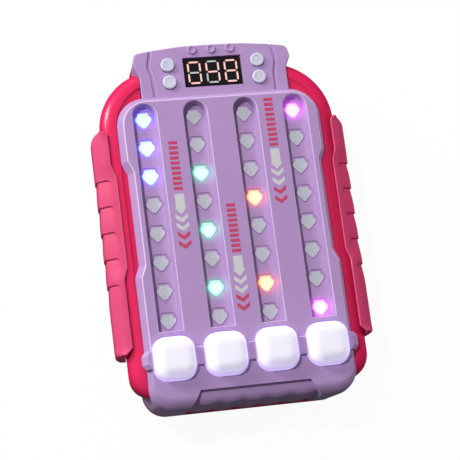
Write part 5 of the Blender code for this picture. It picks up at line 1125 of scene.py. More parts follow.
def grip_stations():
    stations = [GRIP_FRONT_Y + share * GRIP_FRONT_BEVEL for share in (
        0, 0.02, 0.06, 0.12, 0.2, 0.3, 0.42, 0.6, 0.8)]
    plain_low = GRIP_FRONT_Y + GRIP_FRONT_BEVEL
    rib_low = RIB_TOP_Y - RIBS * RIB_PITCH
    stations += [plain_low + (rib_low - plain_low) * at / 6 for at in range(6)]
    rib_high = RIB_TOP_Y + 2 * RIB_STEP
    count = round((rib_high - rib_low) / RIB_STATION)
    stations += [rib_low + (rib_high - rib_low) * at / count for at in range(count + 1)]
    plain = round((GRIP_TOP_Y - rib_high) / PLAIN_STATION)
    stations += [rib_high + (GRIP_TOP_Y - rib_high) * math.sin(math.pi / 2 * at / plain)
                 for at in range(1, plain + 1)]
    return stations


# %% [markdown]
# Each grip carries a painted highlight along the inner edge of its crest: a paler pink where that edge
# catches the light. The tone finds that edge by its normal, which points up and towards the middle of the
# game.

# %% Painted highlight on the crest of the grips
CREST_HIGHLIGHT = 0.65


def painted_crest_highlight(tree, place, tone):
    """Painted highlight, paler where a face points up and inwards: its normal and its place differ there in
    the sign of X.
    """
    normal = facing(tree)
    spot = add_node(tree, "ShaderNodeSeparateXYZ", links={0: place})
    outward = add_node(tree, "ShaderNodeMath", links={0: normal["X"], 1: spot.outputs["X"]},
                       operation="MULTIPLY")
    turned_in = add_node(tree, "ShaderNodeMapRange", {"From Min": -2.0 * MM, "From Max": -12.0 * MM},
                         {"Value": outward.outputs[0]})
    turned_up = add_node(tree, "ShaderNodeMapRange", {"From Min": 0.1, "From Max": 0.35, "To Max": CREST_HIGHLIGHT},
                         {"Value": normal["Z"]})
    share = add_node(tree, "ShaderNodeMath", links={0: turned_in.outputs["Result"],
                                                    1: turned_up.outputs["Result"]}, operation="MULTIPLY")
    return add_node(tree, "ShaderNodeMix", {7: linear("F88CA6")}, {0: share.outputs[0], 6: tone},
                    data_type="RGBA").outputs[2]


retone(GRIP, painted_crest_highlight)
print("painted crest highlight on", GRIP.name)

# %% Make both grips
for name, side in (("left", -1), ("right", 1)):
    rings = [[(side * point.x, y, point.y) for point in grip_section(y)] for y in grip_stations()]
    dress(skin(f"{name}_soft_grip", [rings]), GRIP, "case", "crimson_grip", f"{name}_grip")

# %% [markdown]
# Eight lenses of one lane are one moulding of clouded polycarbonate: a strip under the slot floor, with gems
# that come up flush with it, each in a shallow pocket. A gem is modelled once, and a Geometry Nodes tree
# stamps it on points. The same tree later stamps the signs between the lanes and the screws in the back. It
# ends in Realize Instances and Set Material, and its result is baked into a plain mesh.

# %% The stamping tree
def stamping_tree():
    """Puts one solid on every point: inputs are the solid, its size as a factor and the material."""
    tree = bpy.data.node_groups.new("stamp_on_points", "GeometryNodeTree")
    sockets = {}
    for title, kind in (("Geometry", "NodeSocketGeometry"), ("Solid", "NodeSocketObject"),
                        ("Size", "NodeSocketFloat"), ("Plastic", "NodeSocketMaterial")):
        sockets[title] = tree.interface.new_socket(title, in_out="INPUT", socket_type=kind).identifier
    tree.interface.new_socket("Geometry", in_out="OUTPUT", socket_type="NodeSocketGeometry")
    inputs = add_node(tree, "NodeGroupInput")
    solid = add_node(tree, "GeometryNodeObjectInfo", links={"Object": inputs.outputs["Solid"]},
                     transform_space="ORIGINAL")
    stamped = add_node(tree, "GeometryNodeInstanceOnPoints", links={
        "Points": inputs.outputs["Geometry"], "Instance": solid.outputs["Geometry"],
        "Scale": inputs.outputs["Size"]})
    real = add_node(tree, "GeometryNodeRealizeInstances", links={"Geometry": stamped.outputs["Instances"]})
    coloured = add_node(tree, "GeometryNodeSetMaterial", links={
        "Geometry": real.outputs["Geometry"], "Material": inputs.outputs["Plastic"]})
    add_node(tree, "NodeGroupOutput", links={0: coloured.outputs["Geometry"]})
    return tree, sockets


STAMP, STAMP_SOCKETS = stamping_tree()


def stamp(name, solid, places, material, size=1.0):
    """Stamps a solid, drawn round the origin, on (x, y, z) places of the lens grid; the solid is used up."""
    points = bpy.data.meshes.new(name)
    points.from_pydata([(x, y + GRID_Y, z) for x, y, z in places], [], [])
    piece = bpy.data.objects.new(name, points)
    bpy.context.scene.collection.objects.link(piece)
    modifier = piece.modifiers.new("stamp", "NODES")
    modifier.node_group = STAMP
    modifier[STAMP_SOCKETS["Solid"]] = solid
    modifier[STAMP_SOCKETS["Size"]] = size
    modifier[STAMP_SOCKETS["Plastic"]] = material
    graph = bpy.context.evaluated_depsgraph_get()
    baked = bpy.data.meshes.new_from_object(piece.evaluated_get(graph))
    piece.modifiers.clear()
    piece.data = baked
    bpy.data.objects.remove(solid)
    return piece


# %% [markdown]
# Clouded polycarbonate scatters light: an unlit lens is a milky grey with a soft edge, and a lit one burns
# out to white in its middle and keeps the diode's own colour at its rim. Each lens finds its lamp by
# distance, and some of the lamp's colour is painted into its base colour too. Its sloping flanks are painted
# lilac, a painted refraction of the slot round them.

# %% Clouded lens plastic with its lamps
LAMP_CORE = 1.6 * MM
LAMP_RIM = 4.3 * MM
LAMP_REACH = 6.2 * MM
LAMP_STRENGTH = 0.62
LAMP_PAINTED_TINT = 0.4
LENS_CLOUD = 1.1 * MM


def clouded_lens():
    material, tree, shader, place = new_material("clouded_polycarbonate")
    cloud = add_node(tree, "ShaderNodeTexNoise", {"Scale": 1 / LENS_CLOUD, "Detail": 3.0}, {"Vector": place})
    milk = add_node(tree, "ShaderNodeMix", {6: linear("B8BAC6"), 7: linear("E0E2EA")},
                    {0: cloud.outputs["Fac"]}, data_type="RGBA")
    # Painted refraction: flanks that slope away from the top take the lilac of the slot round them
    painted_lilac_refraction = add_node(tree, "ShaderNodeMapRange", {"From Min": 0.97, "From Max": 0.86},
                     {"Value": facing(tree)["Z"]})
    milk = add_node(tree, "ShaderNodeMix", {7: linear("C0A6D2")},
                    {0: painted_lilac_refraction.outputs["Result"], 6: milk.outputs[2]}, data_type="RGBA")
    bump = add_node(tree, "ShaderNodeBump", {"Strength": 1.0, "Distance": 0.05 * MM},
                    {"Height": cloud.outputs["Fac"]})
    total, lit_here = None, None
    for lamp, lenses in LIT.items():
        for lane, number in lenses:
            x, y = lens_place(lane, number)
            flat = add_node(tree, "ShaderNodeVectorMath", {1: (1, 1, 0)}, {0: place}, operation="MULTIPLY")
            away = add_node(tree, "ShaderNodeVectorMath", {1: (x, y, 0)}, {0: flat.outputs[0]},
                            operation="DISTANCE")
            rim = add_node(tree, "ShaderNodeMapRange", {"From Min": LAMP_CORE, "From Max": LAMP_RIM},
                           {"Value": away.outputs["Value"]}, interpolation_type="SMOOTHSTEP")
            inside = add_node(tree, "ShaderNodeMath", {1: LAMP_REACH}, {0: away.outputs["Value"]},
                              operation="LESS_THAN")
            tint = add_node(tree, "ShaderNodeMix", {6: linear(CORE_COLOURS[lamp]),
                                                    7: linear(RIM_COLOURS[lamp])},
                            {0: rim.outputs["Result"]}, data_type="RGBA")
            lit = add_node(tree, "ShaderNodeVectorMath", operation="SCALE", links={
                0: tint.outputs[2], "Scale": inside.outputs[0]})
            total = lit.outputs[0] if total is None else add_node(
                tree, "ShaderNodeVectorMath", links={0: total, 1: lit.outputs[0]}, operation="ADD").outputs[0]
            lit_here = inside.outputs[0] if lit_here is None else add_node(
                tree, "ShaderNodeMath", links={0: lit_here, 1: inside.outputs[0]},
                operation="MAXIMUM").outputs[0]
    # Painted light: where a lamp is lit, its colour is also mixed into the base colour
    painted_lamp_tint = add_node(tree, "ShaderNodeMath", {1: LAMP_PAINTED_TINT}, {0: lit_here}, operation="MULTIPLY")
    milk = add_node(tree, "ShaderNodeMix", links={0: painted_lamp_tint.outputs[0], 6: milk.outputs[2], 7: total},
                    data_type="RGBA")
    shader.inputs["IOR"].default_value = 1.58
    shader.inputs["Roughness"].default_value = 0.32
    shader.inputs["Coat Weight"].default_value = 0.3
    shader.inputs["Emission Strength"].default_value = LAMP_STRENGTH
    tree.links.new(milk.outputs[2], shader.inputs["Base Color"])
    tree.links.new(bump.outputs["Normal"], shader.inputs["Normal"])
    tree.links.new(total, shader.inputs["Emission Color"])
    return material


RIM_COLOURS = {"blue": "A8DCFF", "mint": "50E8B0", "amber": "FFB45A", "magenta": "F080F8"}
CLOUDED = clouded_lens()

# %% Make the four light strips
GEM_FLANK = 0.3 * MM
GEM_TOP = SLOT_FLOOR + 0.02 * MM
STRIP_FOOT = 24.2 * MM
STRIP_TOP = 25.6 * MM
for lane in range(LANES):
    gem_side = [(0, STRIP_TOP - MM, 0), (0, SLOT_FLOOR - GEM_RECESS_DEPTH, 0.05 * MM),
                (GEM_FLANK, GEM_TOP, 0.15 * MM), (2 * GEM_FLANK, GEM_TOP, 0)]
    gem = skin("gem", [stack(gem_outline(0, -GRID_Y), edge_levels(gem_side), 4)])
    gems = stamp(f"light_strip_{lane + 1}", gem, [(lane_x[lane], y, 0) for y in lens_y], CLOUDED)
    length = (LENSES_PER_LANE - 1) * LENS_PITCH + plate_width
    plate = skin("plate", [stack(rectangle(lane_x[lane], 0, plate_width, length, MM), [
        (STRIP_FOOT, 0), (STRIP_TOP, 0)], 4)])
    dress(carve(gems, plate, "UNION"), CLOUDED, "case", "clouded_lens", f"lens_strip_{lane + 1}")

# %% [markdown]
# The four keys are white translucent caps, blown out by the light from above. A key is a pillow: a steep
# skirt, a broad round shoulder and a flatter middle, on a flange that keeps it in the panel. Its plastic
# scatters light below the surface. Its sides carry painted light: a cool violet colour and an emission that
# grows as the surface turns away from the top, lifting their shade in place of light from the board.

# %% Key plastic
def white_with_painted_flank_light():
    """White translucent ABS, white on top, with painted light on its flanks: a violet colour and a glow that
    lift their shade.
    """
    material, tree, shader, place = new_material("white_translucent_abs")
    climb = add_node(tree, "ShaderNodeMapRange", {"From Min": 0.7, "From Max": 1.0},
                     {"Value": facing(tree)["Z"]})
    grain = add_node(tree, "ShaderNodeTexNoise", {"Scale": 1 / (0.6 * MM), "Detail": 2.0}, {"Vector": place})
    bump = add_node(tree, "ShaderNodeBump", {"Strength": 1.0, "Distance": 0.01 * MM},
                    {"Height": grain.outputs["Fac"]})
    colour = add_node(tree, "ShaderNodeMix", {6: linear("E2DAF8"), 7: linear("F2F2FF")},
                      {0: climb.outputs["Result"]}, data_type="RGBA")
    shader.inputs["IOR"].default_value = PLASTIC_IOR
    shader.inputs["Roughness"].default_value = 0.22
    shader.inputs["Coat Weight"].default_value = 0.25
    shader.inputs["Subsurface Weight"].default_value = 0.25
    shader.inputs["Subsurface Scale"].default_value = 2.5 * MM
    # Painted light: an emission strongest on the flanks lifts their shade
    painted_flank_lift = add_node(tree, "ShaderNodeMapRange", {"To Min": 0.6, "To Max": 0.1},
                    {"Value": climb.outputs["Result"]})
    shader.inputs["Emission Color"].default_value = linear("DDD2FF")
    tree.links.new(painted_flank_lift.outputs["Result"], shader.inputs["Emission Strength"])
    tree.links.new(colour.outputs[2], shader.inputs["Base Color"])
    tree.links.new(bump.outputs["Normal"], shader.inputs["Normal"])
    return material


WHITE_KEY = white_with_painted_flank_light()

# %% Make the keys
KEY_FLANGE_THICK = 1.6 * MM
KEY_SKIN = 1.8 * MM
KEY_POST = 3.0 * MM
KEY_PLAN_STEPS = 10
KEY_PILLOW = 6.0 * MM
KEY_PILLOW_STEPS = 18
KEY_FULLNESS = 0.85
KEY_DRAFT = 0.35 * MM
KEY_ROOF = 1.0 * MM
KEY_SPACE_TAPER = 1.5 * MM


def make_key(number):
    x = lane_x[number]
    plan = rectangle(x, KEY_Y, KEY_WIDTH, KEY_WIDTH, KEY_RADIUS)
    flange_top = KEY_FOOT + KEY_FLANGE_THICK
    flange = [(-KEY_FLANGE, KEY_FOOT, 0), (-KEY_FLANGE, flange_top, 0.2 * MM), (0, flange_top, 0.15 * MM),
              (KEY_DRAFT, PANEL_TOP, 0)]
    levels = edge_levels(flange, 4)
    levels += [(PANEL_TOP + (KEY_TOP - PANEL_TOP) * math.sin(turn) ** KEY_FULLNESS,
                KEY_DRAFT + KEY_PILLOW * (1 - math.cos(turn) ** KEY_FULLNESS))
               for turn in quarter_turns(KEY_PILLOW_STEPS)[1:]]
    key = skin(f"white_key_{number + 1}", [stack(plan, levels, KEY_PLAN_STEPS)])
    ceiling = KEY_TOP - KEY_ROOF - KEY_SKIN
    carve(key, skin("key_space", [stack(plan, [(KEY_FOOT - OVERRUN, KEY_SKIN), (PANEL_TOP, KEY_SKIN),
                                               (ceiling, KEY_SKIN + KEY_SPACE_TAPER)], 6)]))
    post = turned(x, KEY_Y, [(KEY_POST, KEY_FOOT + SEAM), (KEY_POST, ceiling + KEY_SKIN / 2)], 24)
    return carve(key, skin("key_post", [post]), "UNION")


for number in range(LANES):
    dress(make_key(number), WHITE_KEY, f"key_{number + 1}", "white_key", f"key_cap_{number + 1}")

# %% [markdown]
# The small round buttons by the display are grey silicone, with a soft rounded rim and a plain raised mark
# each: a ring, a bar, a triangle and twin bars, the usual signs of such toys.

# %% Button silicone and marks
BUTTON_TOP = 30.0 * MM
BUTTON_EDGE = 0.6 * MM
BUTTON_STEM = 1.5 * MM
BUTTON_SHELF = 26.5 * MM
BUTTON_FLANGE = 0.35 * MM
BUTTON_FLANGE_THICK = 1.2 * MM
MARK_HEIGHT = 0.12 * MM
BUTTON_DISH = MARK_HEIGHT
SILICONE = moulded_plastic("grey_silicone", "D2D0E2", "C6C4D8", 0.3 * MM, 0.01 * MM, 0.5, subsurface=0.15)


def mark_bodies(kind, x, y):
    """Raised marks, a little sunk in the button so that they join it."""
    low, high = BUTTON_TOP - BUTTON_DISH - 0.3 * MM, BUTTON_TOP
    levels = [(low, 0), (high - 0.04 * MM, 0), (high, 0.06 * MM)]
    bar = rectangle(x, y, 0.55 * MM, 2.6 * MM, 0.2 * MM)
    if kind == "bar":
        return [stack(bar, levels, 4)]
    if kind == "twin_bars":
        return [stack([(px + shift * MM, py, r) for px, py, r in bar], levels, 4) for shift in (-0.55, 0.55)]
    if kind == "triangle":
        turns = [math.radians(angle) for angle in (-90, 30, 150)]
        return [stack([(x + 1.5 * MM * math.cos(turn), y + 1.5 * MM * math.sin(turn), 0.25 * MM)
                       for turn in turns], levels, 4)]
    return [turned(x, y, [(1.0 * MM, low), (1.45 * MM, low), (1.45 * MM, high), (1.0 * MM, high)], 32)]


def make_button(number, kind):
    side, row = (-1, 1)[number // 2], (1, -1)[number % 2]
    x, y = side * BUTTON_X, BUTTON_Y + row * BUTTON_PITCH / 2
    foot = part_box(f"round_button_{number + 1}")[0][2]
    radius = BUTTON_DIAMETER / 2
    flange = radius + SEAM + BUTTON_FLANGE
    profile = [(BUTTON_STEM, foot, 0), (BUTTON_STEM, BUTTON_SHELF - BUTTON_FLANGE_THICK, 0),
               (flange, BUTTON_SHELF - BUTTON_FLANGE_THICK, 0), (flange, BUTTON_SHELF, 0),
               (radius, BUTTON_SHELF, 0), (radius, BUTTON_TOP, BUTTON_EDGE),
               (radius - 2 * BUTTON_EDGE, BUTTON_TOP, 0.3 * MM),
               (radius - 2.6 * BUTTON_EDGE, BUTTON_TOP - BUTTON_DISH, 0.3 * MM),
               (0.3 * radius, BUTTON_TOP - BUTTON_DISH, 0)]
    rings = turned(x, y, [tuple(point) for point in rounded_path(profile, 6, closed=False)], 40)
    button = skin(f"grey_button_{number + 1}", [rings])
    for body in mark_bodies(kind, x, y):
        carve(button, skin("mark", [body], ring_shaped=kind == "ring"), "UNION")
    return button


for number, kind in enumerate(("ring", "bar", "triangle", "twin_bars")):
    dress(make_button(number, kind), SILICONE, f"button_{number + 1}", "grey_silicone",
          f"round_button_{number + 1}")

# %% [markdown]
# The counter is a seven-segment display: a glossy black cap with windows, and cast epoxy bars that carry the
# light of red diodes. Four bars are dark, as in the picture, and the lit ones burn out to a pale red.

# %% Black cap and light bars of the counter
DISPLAY_FACE = 28.0 * MM
DISPLAY_SHOULDER = 26.5 * MM
DISPLAY_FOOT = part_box("display_case")[0][2]
DISPLAY_MARGIN = 0.6 * MM
DISPLAY_SKIN = 1.3 * MM
DISPLAY_WALL = 1.2 * MM
DIGIT_PITCH = 8.5 * MM
DIGIT_WIDTH = 6.2 * MM
DIGIT_HEIGHT = 10.6 * MM
SEGMENT_WIDTH = 0.78 * MM
SEGMENT_BREAK = 0.85 * MM
SEGMENT_GAP = 0.08 * MM
DIGIT_PLATE = 1.2 * MM
BAR_SINK = 0.12 * MM
DARK_BARS = {(0, "g"), (1, "a"), (1, "d"), (1, "e")}


def segment_bars():
    """Pointed bars with the letters that such displays use, from a at the top round to g in the middle."""
    tall, wide = (DIGIT_HEIGHT - SEGMENT_WIDTH) / 2, DIGIT_WIDTH - SEGMENT_WIDTH
    half = SEGMENT_WIDTH / 2
    places = {"a": (0, tall, 0), "g": (0, 0, 0), "d": (0, -tall, 0), "b": (wide / 2, tall / 2, 1),
              "c": (wide / 2, -tall / 2, 1), "e": (-wide / 2, -tall / 2, 1), "f": (-wide / 2, tall / 2, 1)}
    bars = {}
    for digit in range(3):
        for letter, (across, along, upright) in places.items():
            reach = ((tall if upright else wide) - SEGMENT_BREAK) / 2
            points = [(-reach, 0), (half - reach, -half), (reach - half, -half), (reach, 0),
                      (reach - half, half), (half - reach, half)]
            if upright:
                points = [(-b, a) for a, b in points]
            bars[digit, letter] = [((digit - 1) * DIGIT_PITCH + across + a, WINDOW_Y + along + b, 0.08 * MM)
                                   for a, b in points]
    return bars


def glossy_black():
    """Black ABS behind a filter: nearly black, with only a faint reflection of the surround."""
    material, tree, shader, place = new_material("polished_black_abs")
    smear = add_node(tree, "ShaderNodeTexNoise", {"Scale": 1 / (4 * MM), "Detail": 2.0}, {"Vector": place})
    gloss = add_node(tree, "ShaderNodeMapRange", {"To Min": 0.22, "To Max": 0.34},
                     {"Value": smear.outputs["Fac"]})
    tone = add_node(tree, "ShaderNodeMix", {6: linear("040406"), 7: linear("0B0A0E")},
                    {0: smear.outputs["Fac"]}, data_type="RGBA")
    shader.inputs["Specular IOR Level"].default_value = 0.2
    tree.links.new(tone.outputs[2], shader.inputs["Base Color"])
    tree.links.new(gloss.outputs["Result"], shader.inputs["Roughness"])
    return material


def cast_epoxy(name, lit):
    """Clouded epoxy: a lit bar glows a pale red from end to end; a dark one gets a weak painted glow for stray
    light.
    """
    material, tree, shader, place = new_material(name)
    cloud = add_node(tree, "ShaderNodeTexNoise", {"Scale": 1 / (0.5 * MM), "Detail": 2.0}, {"Vector": place})
    low, high = ("F09A98", "FFD8D2") if lit else ("B4BCB8", "D4DAD4")
    tone = add_node(tree, "ShaderNodeMix", {6: linear(low), 7: linear(high)}, {0: cloud.outputs["Fac"]},
                    data_type="RGBA")
    tree.links.new(tone.outputs[2], shader.inputs["Base Color"])
    shader.inputs["Roughness"].default_value = 0.4
    tree.links.new(tone.outputs[2], shader.inputs["Emission Color"])
    # A lit bar's glow is its diode; a dark bar's weak glow is painted stray light
    shader.inputs["Emission Strength"].default_value = 0.42 if lit else 0.12
    return material


BLACK = glossy_black()
LIT_EPOXY = cast_epoxy("lit_clouded_epoxy", True)
DARK_EPOXY = cast_epoxy("dark_clouded_epoxy", False)

# %% Make the counter
BARS = segment_bars()
PLATE_TOP = DISPLAY_FACE - DISPLAY_SKIN - SEAM


def counter_nose():
    return rectangle(0, WINDOW_Y, WINDOW_WIDTH - 2 * WINDOW_BEVEL - 2 * SEAM,
                     WINDOW_HEIGHT - 2 * WINDOW_BEVEL - 2 * SEAM, 0.3 * MM)


def make_counter_cap():
    nose = counter_nose()
    cap = skin("counter_cap", [stack(offset_outline(nose, -DISPLAY_MARGIN), [
        (DISPLAY_FOOT, 0), (DISPLAY_SHOULDER, 0)], 4)])
    nose_side = [(0, DISPLAY_FOOT + DISPLAY_WALL, 0), (0, DISPLAY_FACE, 0.15 * MM), (MM, DISPLAY_FACE, 0)]
    join(cap, "nose", [stack(nose, edge_levels(nose_side, 3)[:-1], 4)])
    carve(cap, skin("cap_space", [stack(nose, [(DISPLAY_FOOT - OVERRUN, DISPLAY_WALL / 2),
                                               (DISPLAY_FACE - DISPLAY_SKIN, DISPLAY_WALL / 2)], 4)]))
    windows = [stack(offset_outline(bar, -SEGMENT_GAP), [(DISPLAY_FACE - DISPLAY_SKIN - OVERRUN / 2, 0),
                                                         (DISPLAY_FACE + OVERRUN, 0)], 3)
               for bar in BARS.values()]
    return carve(cap, skin("bar_windows", windows))


def bar_bodies(dark):
    return [stack(bar, [(PLATE_TOP - DIGIT_PLATE / 2, 0), (DISPLAY_FACE - BAR_SINK - 0.06 * MM, 0),
                        (DISPLAY_FACE - BAR_SINK, 0.06 * MM)], 3)
            for name, bar in BARS.items() if (name in DARK_BARS) == dark]


dress(make_counter_cap(), BLACK, "case", "black_abs", "display_case")
plate = offset_outline(counter_nose(), DISPLAY_WALL / 2 + SEAM)
lit = skin("lit_bars", [stack(plate, [(PLATE_TOP - DIGIT_PLATE, 0), (PLATE_TOP, 0)], 4)])
join(lit, "bars", bar_bodies(False))
dress(lit, LIT_EPOXY, "case", "clouded_epoxy", "display_digits")
dress(skin("dark_bars", bar_bodies(True)), DARK_EPOXY, "case", "clouded_epoxy", "display_digits")

# %% [markdown]
# Ink signs run down the lands between the lanes: a row of red ticks, a grey arrow and four chevrons, two grey
# and two red. They are pad-printed, so each is a film far thinner than a millimetre. A tick and a chevron are
# drawn once and stamped; nothing here spells anything.

# %% Inks and sign sizes
INK = 0.03 * MM
TICK_WIDTH = 4.2 * MM
TICK_HEIGHT = 1.5 * MM
TICKS = 10
ARROW_WIDTH = 5.8 * MM
ARROW_STEM = 4.2 * MM
ARROW_HEAD = 3.2 * MM
CHEVRON_WIDTH = 5.7 * MM
CHEVRON_THICK = 1.5 * MM
CHEVRON_RISE = 2.1 * MM
CHEVRON_SPREAD = 0.4 * MM


def printed_ink(name, colour, worn):
    """Pad-print ink: slightly uneven cover, so the plastic's tone shows through in specks."""
    material, tree, shader, place = new_material(name)
    cover = add_node(tree, "ShaderNodeTexNoise", {"Scale": 1 / (0.4 * MM), "Detail": 4.0}, {"Vector": place})
    specks = add_node(tree, "ShaderNodeMapRange", {"From Min": 0.45, "From Max": 0.75},
                      {"Value": cover.outputs["Fac"]})
    tone = add_node(tree, "ShaderNodeMix", {6: linear(colour), 7: linear(worn)},
                    {0: specks.outputs["Result"]}, data_type="RGBA")
    tree.links.new(tone.outputs[2], shader.inputs["Base Color"])
    shader.inputs["Roughness"].default_value = 0.5
    return material


RED_INK = printed_ink("red_pad_print_ink", "BC3A58", "B85A84")
GREY_INK = printed_ink("grey_pad_print_ink", "CBCCCB", "BDB4C8")


def ink_film(name, outline):
    return skin(name, [stack(outline, [(-INK, 0), (INK / 2, 0), (INK, 0.03 * MM)], 3)])


def tick_outline():
    return rectangle(0, -GRID_Y, TICK_WIDTH, TICK_HEIGHT, 0.3 * MM)


def chevron_outline():
    half, tip, below = CHEVRON_WIDTH / 2, CHEVRON_RISE / 2, CHEVRON_THICK / 2
    above = below + CHEVRON_SPREAD
    corners = [(0, -tip - below), (half, tip - below), (half, tip + above), (0, -tip + above),
               (-half, tip + above), (-half, tip - below)]
    return [(x, y - GRID_Y, 0.15 * MM) for x, y in corners]


def arrow_outline(top, foot):
    half, stem, neck = ARROW_WIDTH / 2, ARROW_STEM / 2, foot + ARROW_HEAD
    middle = (top + foot) / 2
    corners = [(0, foot), (half, neck), (stem, neck), (stem, top), (-stem, top), (-stem, neck), (-half, neck)]
    return [(x, y - middle - GRID_Y, 0.1 * MM) for x, y in corners], middle


# %% Print the three groups of signs
# Each group has its x, the top and foot of its ticks and of its arrow, and the places of its four chevrons
SIGNS = ((-23.5 * MM, (34.3 * MM, 11.8 * MM), (10.1 * MM, 0.8 * MM),
          (-1.1 * MM, -5.0 * MM, -9.0 * MM, -13.1 * MM)),
         (22.5 * MM, (51.3 * MM, 28.7 * MM), (27.5 * MM, 18.0 * MM),
          (16.4 * MM, 12.2 * MM, 8.0 * MM, 3.8 * MM)),
         (-1.0 * MM, (3.9 * MM, -18.3 * MM), (-19.9 * MM, -29.1 * MM),
          (-31.0 * MM, -35.0 * MM, -39.0 * MM, -43.0 * MM)))
ticks, red_chevrons, grey_chevrons = [], [], []
for number, (x, (top, foot), (arrow_top, arrow_foot), chevrons) in enumerate(SIGNS, 1):
    pitch = (top - foot - TICK_HEIGHT) / (TICKS - 1)
    ticks += [(x, top - TICK_HEIGHT / 2 - at * pitch, PANEL_TOP) for at in range(TICKS)]
    grey_chevrons += [(x, y, PANEL_TOP) for y in chevrons[:2]]
    red_chevrons += [(x, y, PANEL_TOP) for y in chevrons[2:]]
    outline, middle = arrow_outline(arrow_top, arrow_foot)
    arrow = stamp(f"grey_arrow_{number}", ink_film("arrow", outline), [(x, middle, PANEL_TOP)], GREY_INK)
    dress(arrow, GREY_INK, "case", "lilac_abs")
for name, outline, places, ink in (("red_ticks", tick_outline(), ticks, RED_INK),
                                   ("red_chevrons", chevron_outline(), red_chevrons, RED_INK),
                                   ("grey_chevrons", chevron_outline(), grey_chevrons, GREY_INK)):
    dress(stamp(name, ink_film("film", outline), places, ink), ink, "case", "lilac_abs")

# %% [markdown]
# Inside the case the CAD solids stay as they are and get real finishes: fibreglass board with a solder mask,
# zinc-plated steel, plain cell sleeves, paper cone and wire sleeves. The silicone domes under the keys are
# made again as thin shells, because they buckle when a key goes down. The screws in the back are seen down
# their wells, so they are made again with a cross recess, and stamped.

# %% Finishes of the inner pieces
def plain_finish(name, low, high, size, roughness, metallic=0.0, depth=0.01 * MM):
    """A finish whose tone and bump drift between two colours at one grain size."""
    material, tree, shader, place = new_material(name)
    grain = add_node(tree, "ShaderNodeTexNoise", {"Scale": 1 / size, "Detail": 3.0}, {"Vector": place})
    tone = add_node(tree, "ShaderNodeMix", {6: linear(low), 7: linear(high)}, {0: grain.outputs["Fac"]},
                    data_type="RGBA")
    gloss = add_node(tree, "ShaderNodeMapRange", {"To Min": roughness - 0.08, "To Max": roughness + 0.08},
                     {"Value": grain.outputs["Fac"]})
    bump = add_node(tree, "ShaderNodeBump", {"Strength": 1.0, "Distance": depth},
                    {"Height": grain.outputs["Fac"]})
    shader.inputs["Metallic"].default_value = metallic
    tree.links.new(tone.outputs[2], shader.inputs["Base Color"])
    tree.links.new(gloss.outputs["Result"], shader.inputs["Roughness"])
    tree.links.new(bump.outputs["Normal"], shader.inputs["Normal"])
    return material


ZINC = plain_finish("zinc_plated_steel", "A9ACB0", "C6C8CB", 0.8 * MM, 0.34, metallic=1.0)
INNER = {
    ("main_board",): plain_finish("green_solder_mask", "17583A", "237A4E", 2.0 * MM, 0.38),
    ("battery_1", "battery_2", "battery_3"):
        plain_finish("printed_cell_sleeve", "24262C", "34363E", 3.0 * MM, 0.36),
    ("contact_plus", "contact_minus", "contact_link_left", "contact_link_right", "speaker_basket",
     "speaker_magnet", "board_screw_1", "board_screw_2", "board_screw_3", "board_screw_4"): ZINC,
    ("speaker_cone",):
        plain_finish("pressed_speaker_paper", "1F1F22", "2E2D31", 0.4 * MM, 0.85, depth=0.05 * MM),
    ("lead_battery_plus", "lead_speaker_plus"):
        plain_finish("red_wire_sleeve", "A32025", "BF2E33", MM, 0.45),
    ("lead_battery_minus", "lead_speaker_minus"):
        plain_finish("black_wire_sleeve", "151517", "232326", MM, 0.45),
}
for names, finish in INNER.items():
    for name in names:
        for slot in bpy.data.objects[name].material_slots:
            slot.material = finish
        print(name, "gets", finish.name)

# %% Return domes under the keys
DOME_FOOT = 22.3 * MM
DOME_BASE = 6.75 * MM
DOME_TIP = 4.5 * MM
DOME_SKIN = 0.9 * MM
RUBBER = plain_finish("clear_silicone_rubber", "CFCFCB", "DEDEDA", 1.5 * MM, 0.6)


def make_dome(number):
    """A thin-walled round dome: a foot ring, a flank that buckles and a flat top under the key's post."""
    top = KEY_FOOT
    profile = [(0.4 * MM, top - DOME_SKIN, 0), (DOME_TIP - DOME_SKIN, top - DOME_SKIN, 0.5 * MM),
               (DOME_BASE - DOME_SKIN, DOME_FOOT, 0), (DOME_BASE, DOME_FOOT, 0),
               (DOME_BASE, DOME_FOOT + DOME_SKIN, 0.3 * MM), (DOME_TIP, top - DOME_SKIN, 0.6 * MM),
               (DOME_TIP - DOME_SKIN / 2, top, 0.25 * MM), (0.4 * MM, top, 0)]
    rings = turned(lane_x[number], KEY_Y, rounded_path(profile, 5, closed=False), 32)
    return skin(f"silicone_dome_{number + 1}", [rings])


for number in range(LANES):
    dome = dress(make_dome(number), RUBBER, "case", "clear_silicone", f"key_boot_{number + 1}")
    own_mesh(dome)

# %% Stamp the case screws and the door's screw
SCREW_HEIGHT = 1.4 * MM
CROSS_WIDTH = 0.7 * MM
CROSS_LENGTH = 2.7 * MM
CROSS_DEPTH = 0.8 * MM
SCREW_BITE = 5.0 * MM


def pan_screw(length):
    """A pan-head screw with a cross recess, standing on the origin with its head's seat at height 0."""
    head, radius = SCREW_HEAD / 2, SCREW_DIAMETER / 2
    side_view = [(0.55 * head, -SCREW_HEIGHT, 0.3 * MM), (head, -0.75 * SCREW_HEIGHT, 0.5 * MM),
                 (head, -SEAM, 0), (radius, -SEAM, 0), (radius, length - MM, 0), (0.4 * radius, length, 0)]
    screw = skin("pan_screw", [turned(0, -GRID_Y, [tuple(point) for point in rounded_path(
        side_view, 4, closed=False)], 24)])
    recess = [(-SCREW_HEIGHT - MM, 0), (CROSS_DEPTH - SCREW_HEIGHT, 0.1 * MM)]
    for across, along in ((CROSS_WIDTH, CROSS_LENGTH), (CROSS_LENGTH, CROSS_WIDTH)):
        cut(screw, "cross", [stack(rectangle(0, -GRID_Y, across, along), recess)])
    return screw


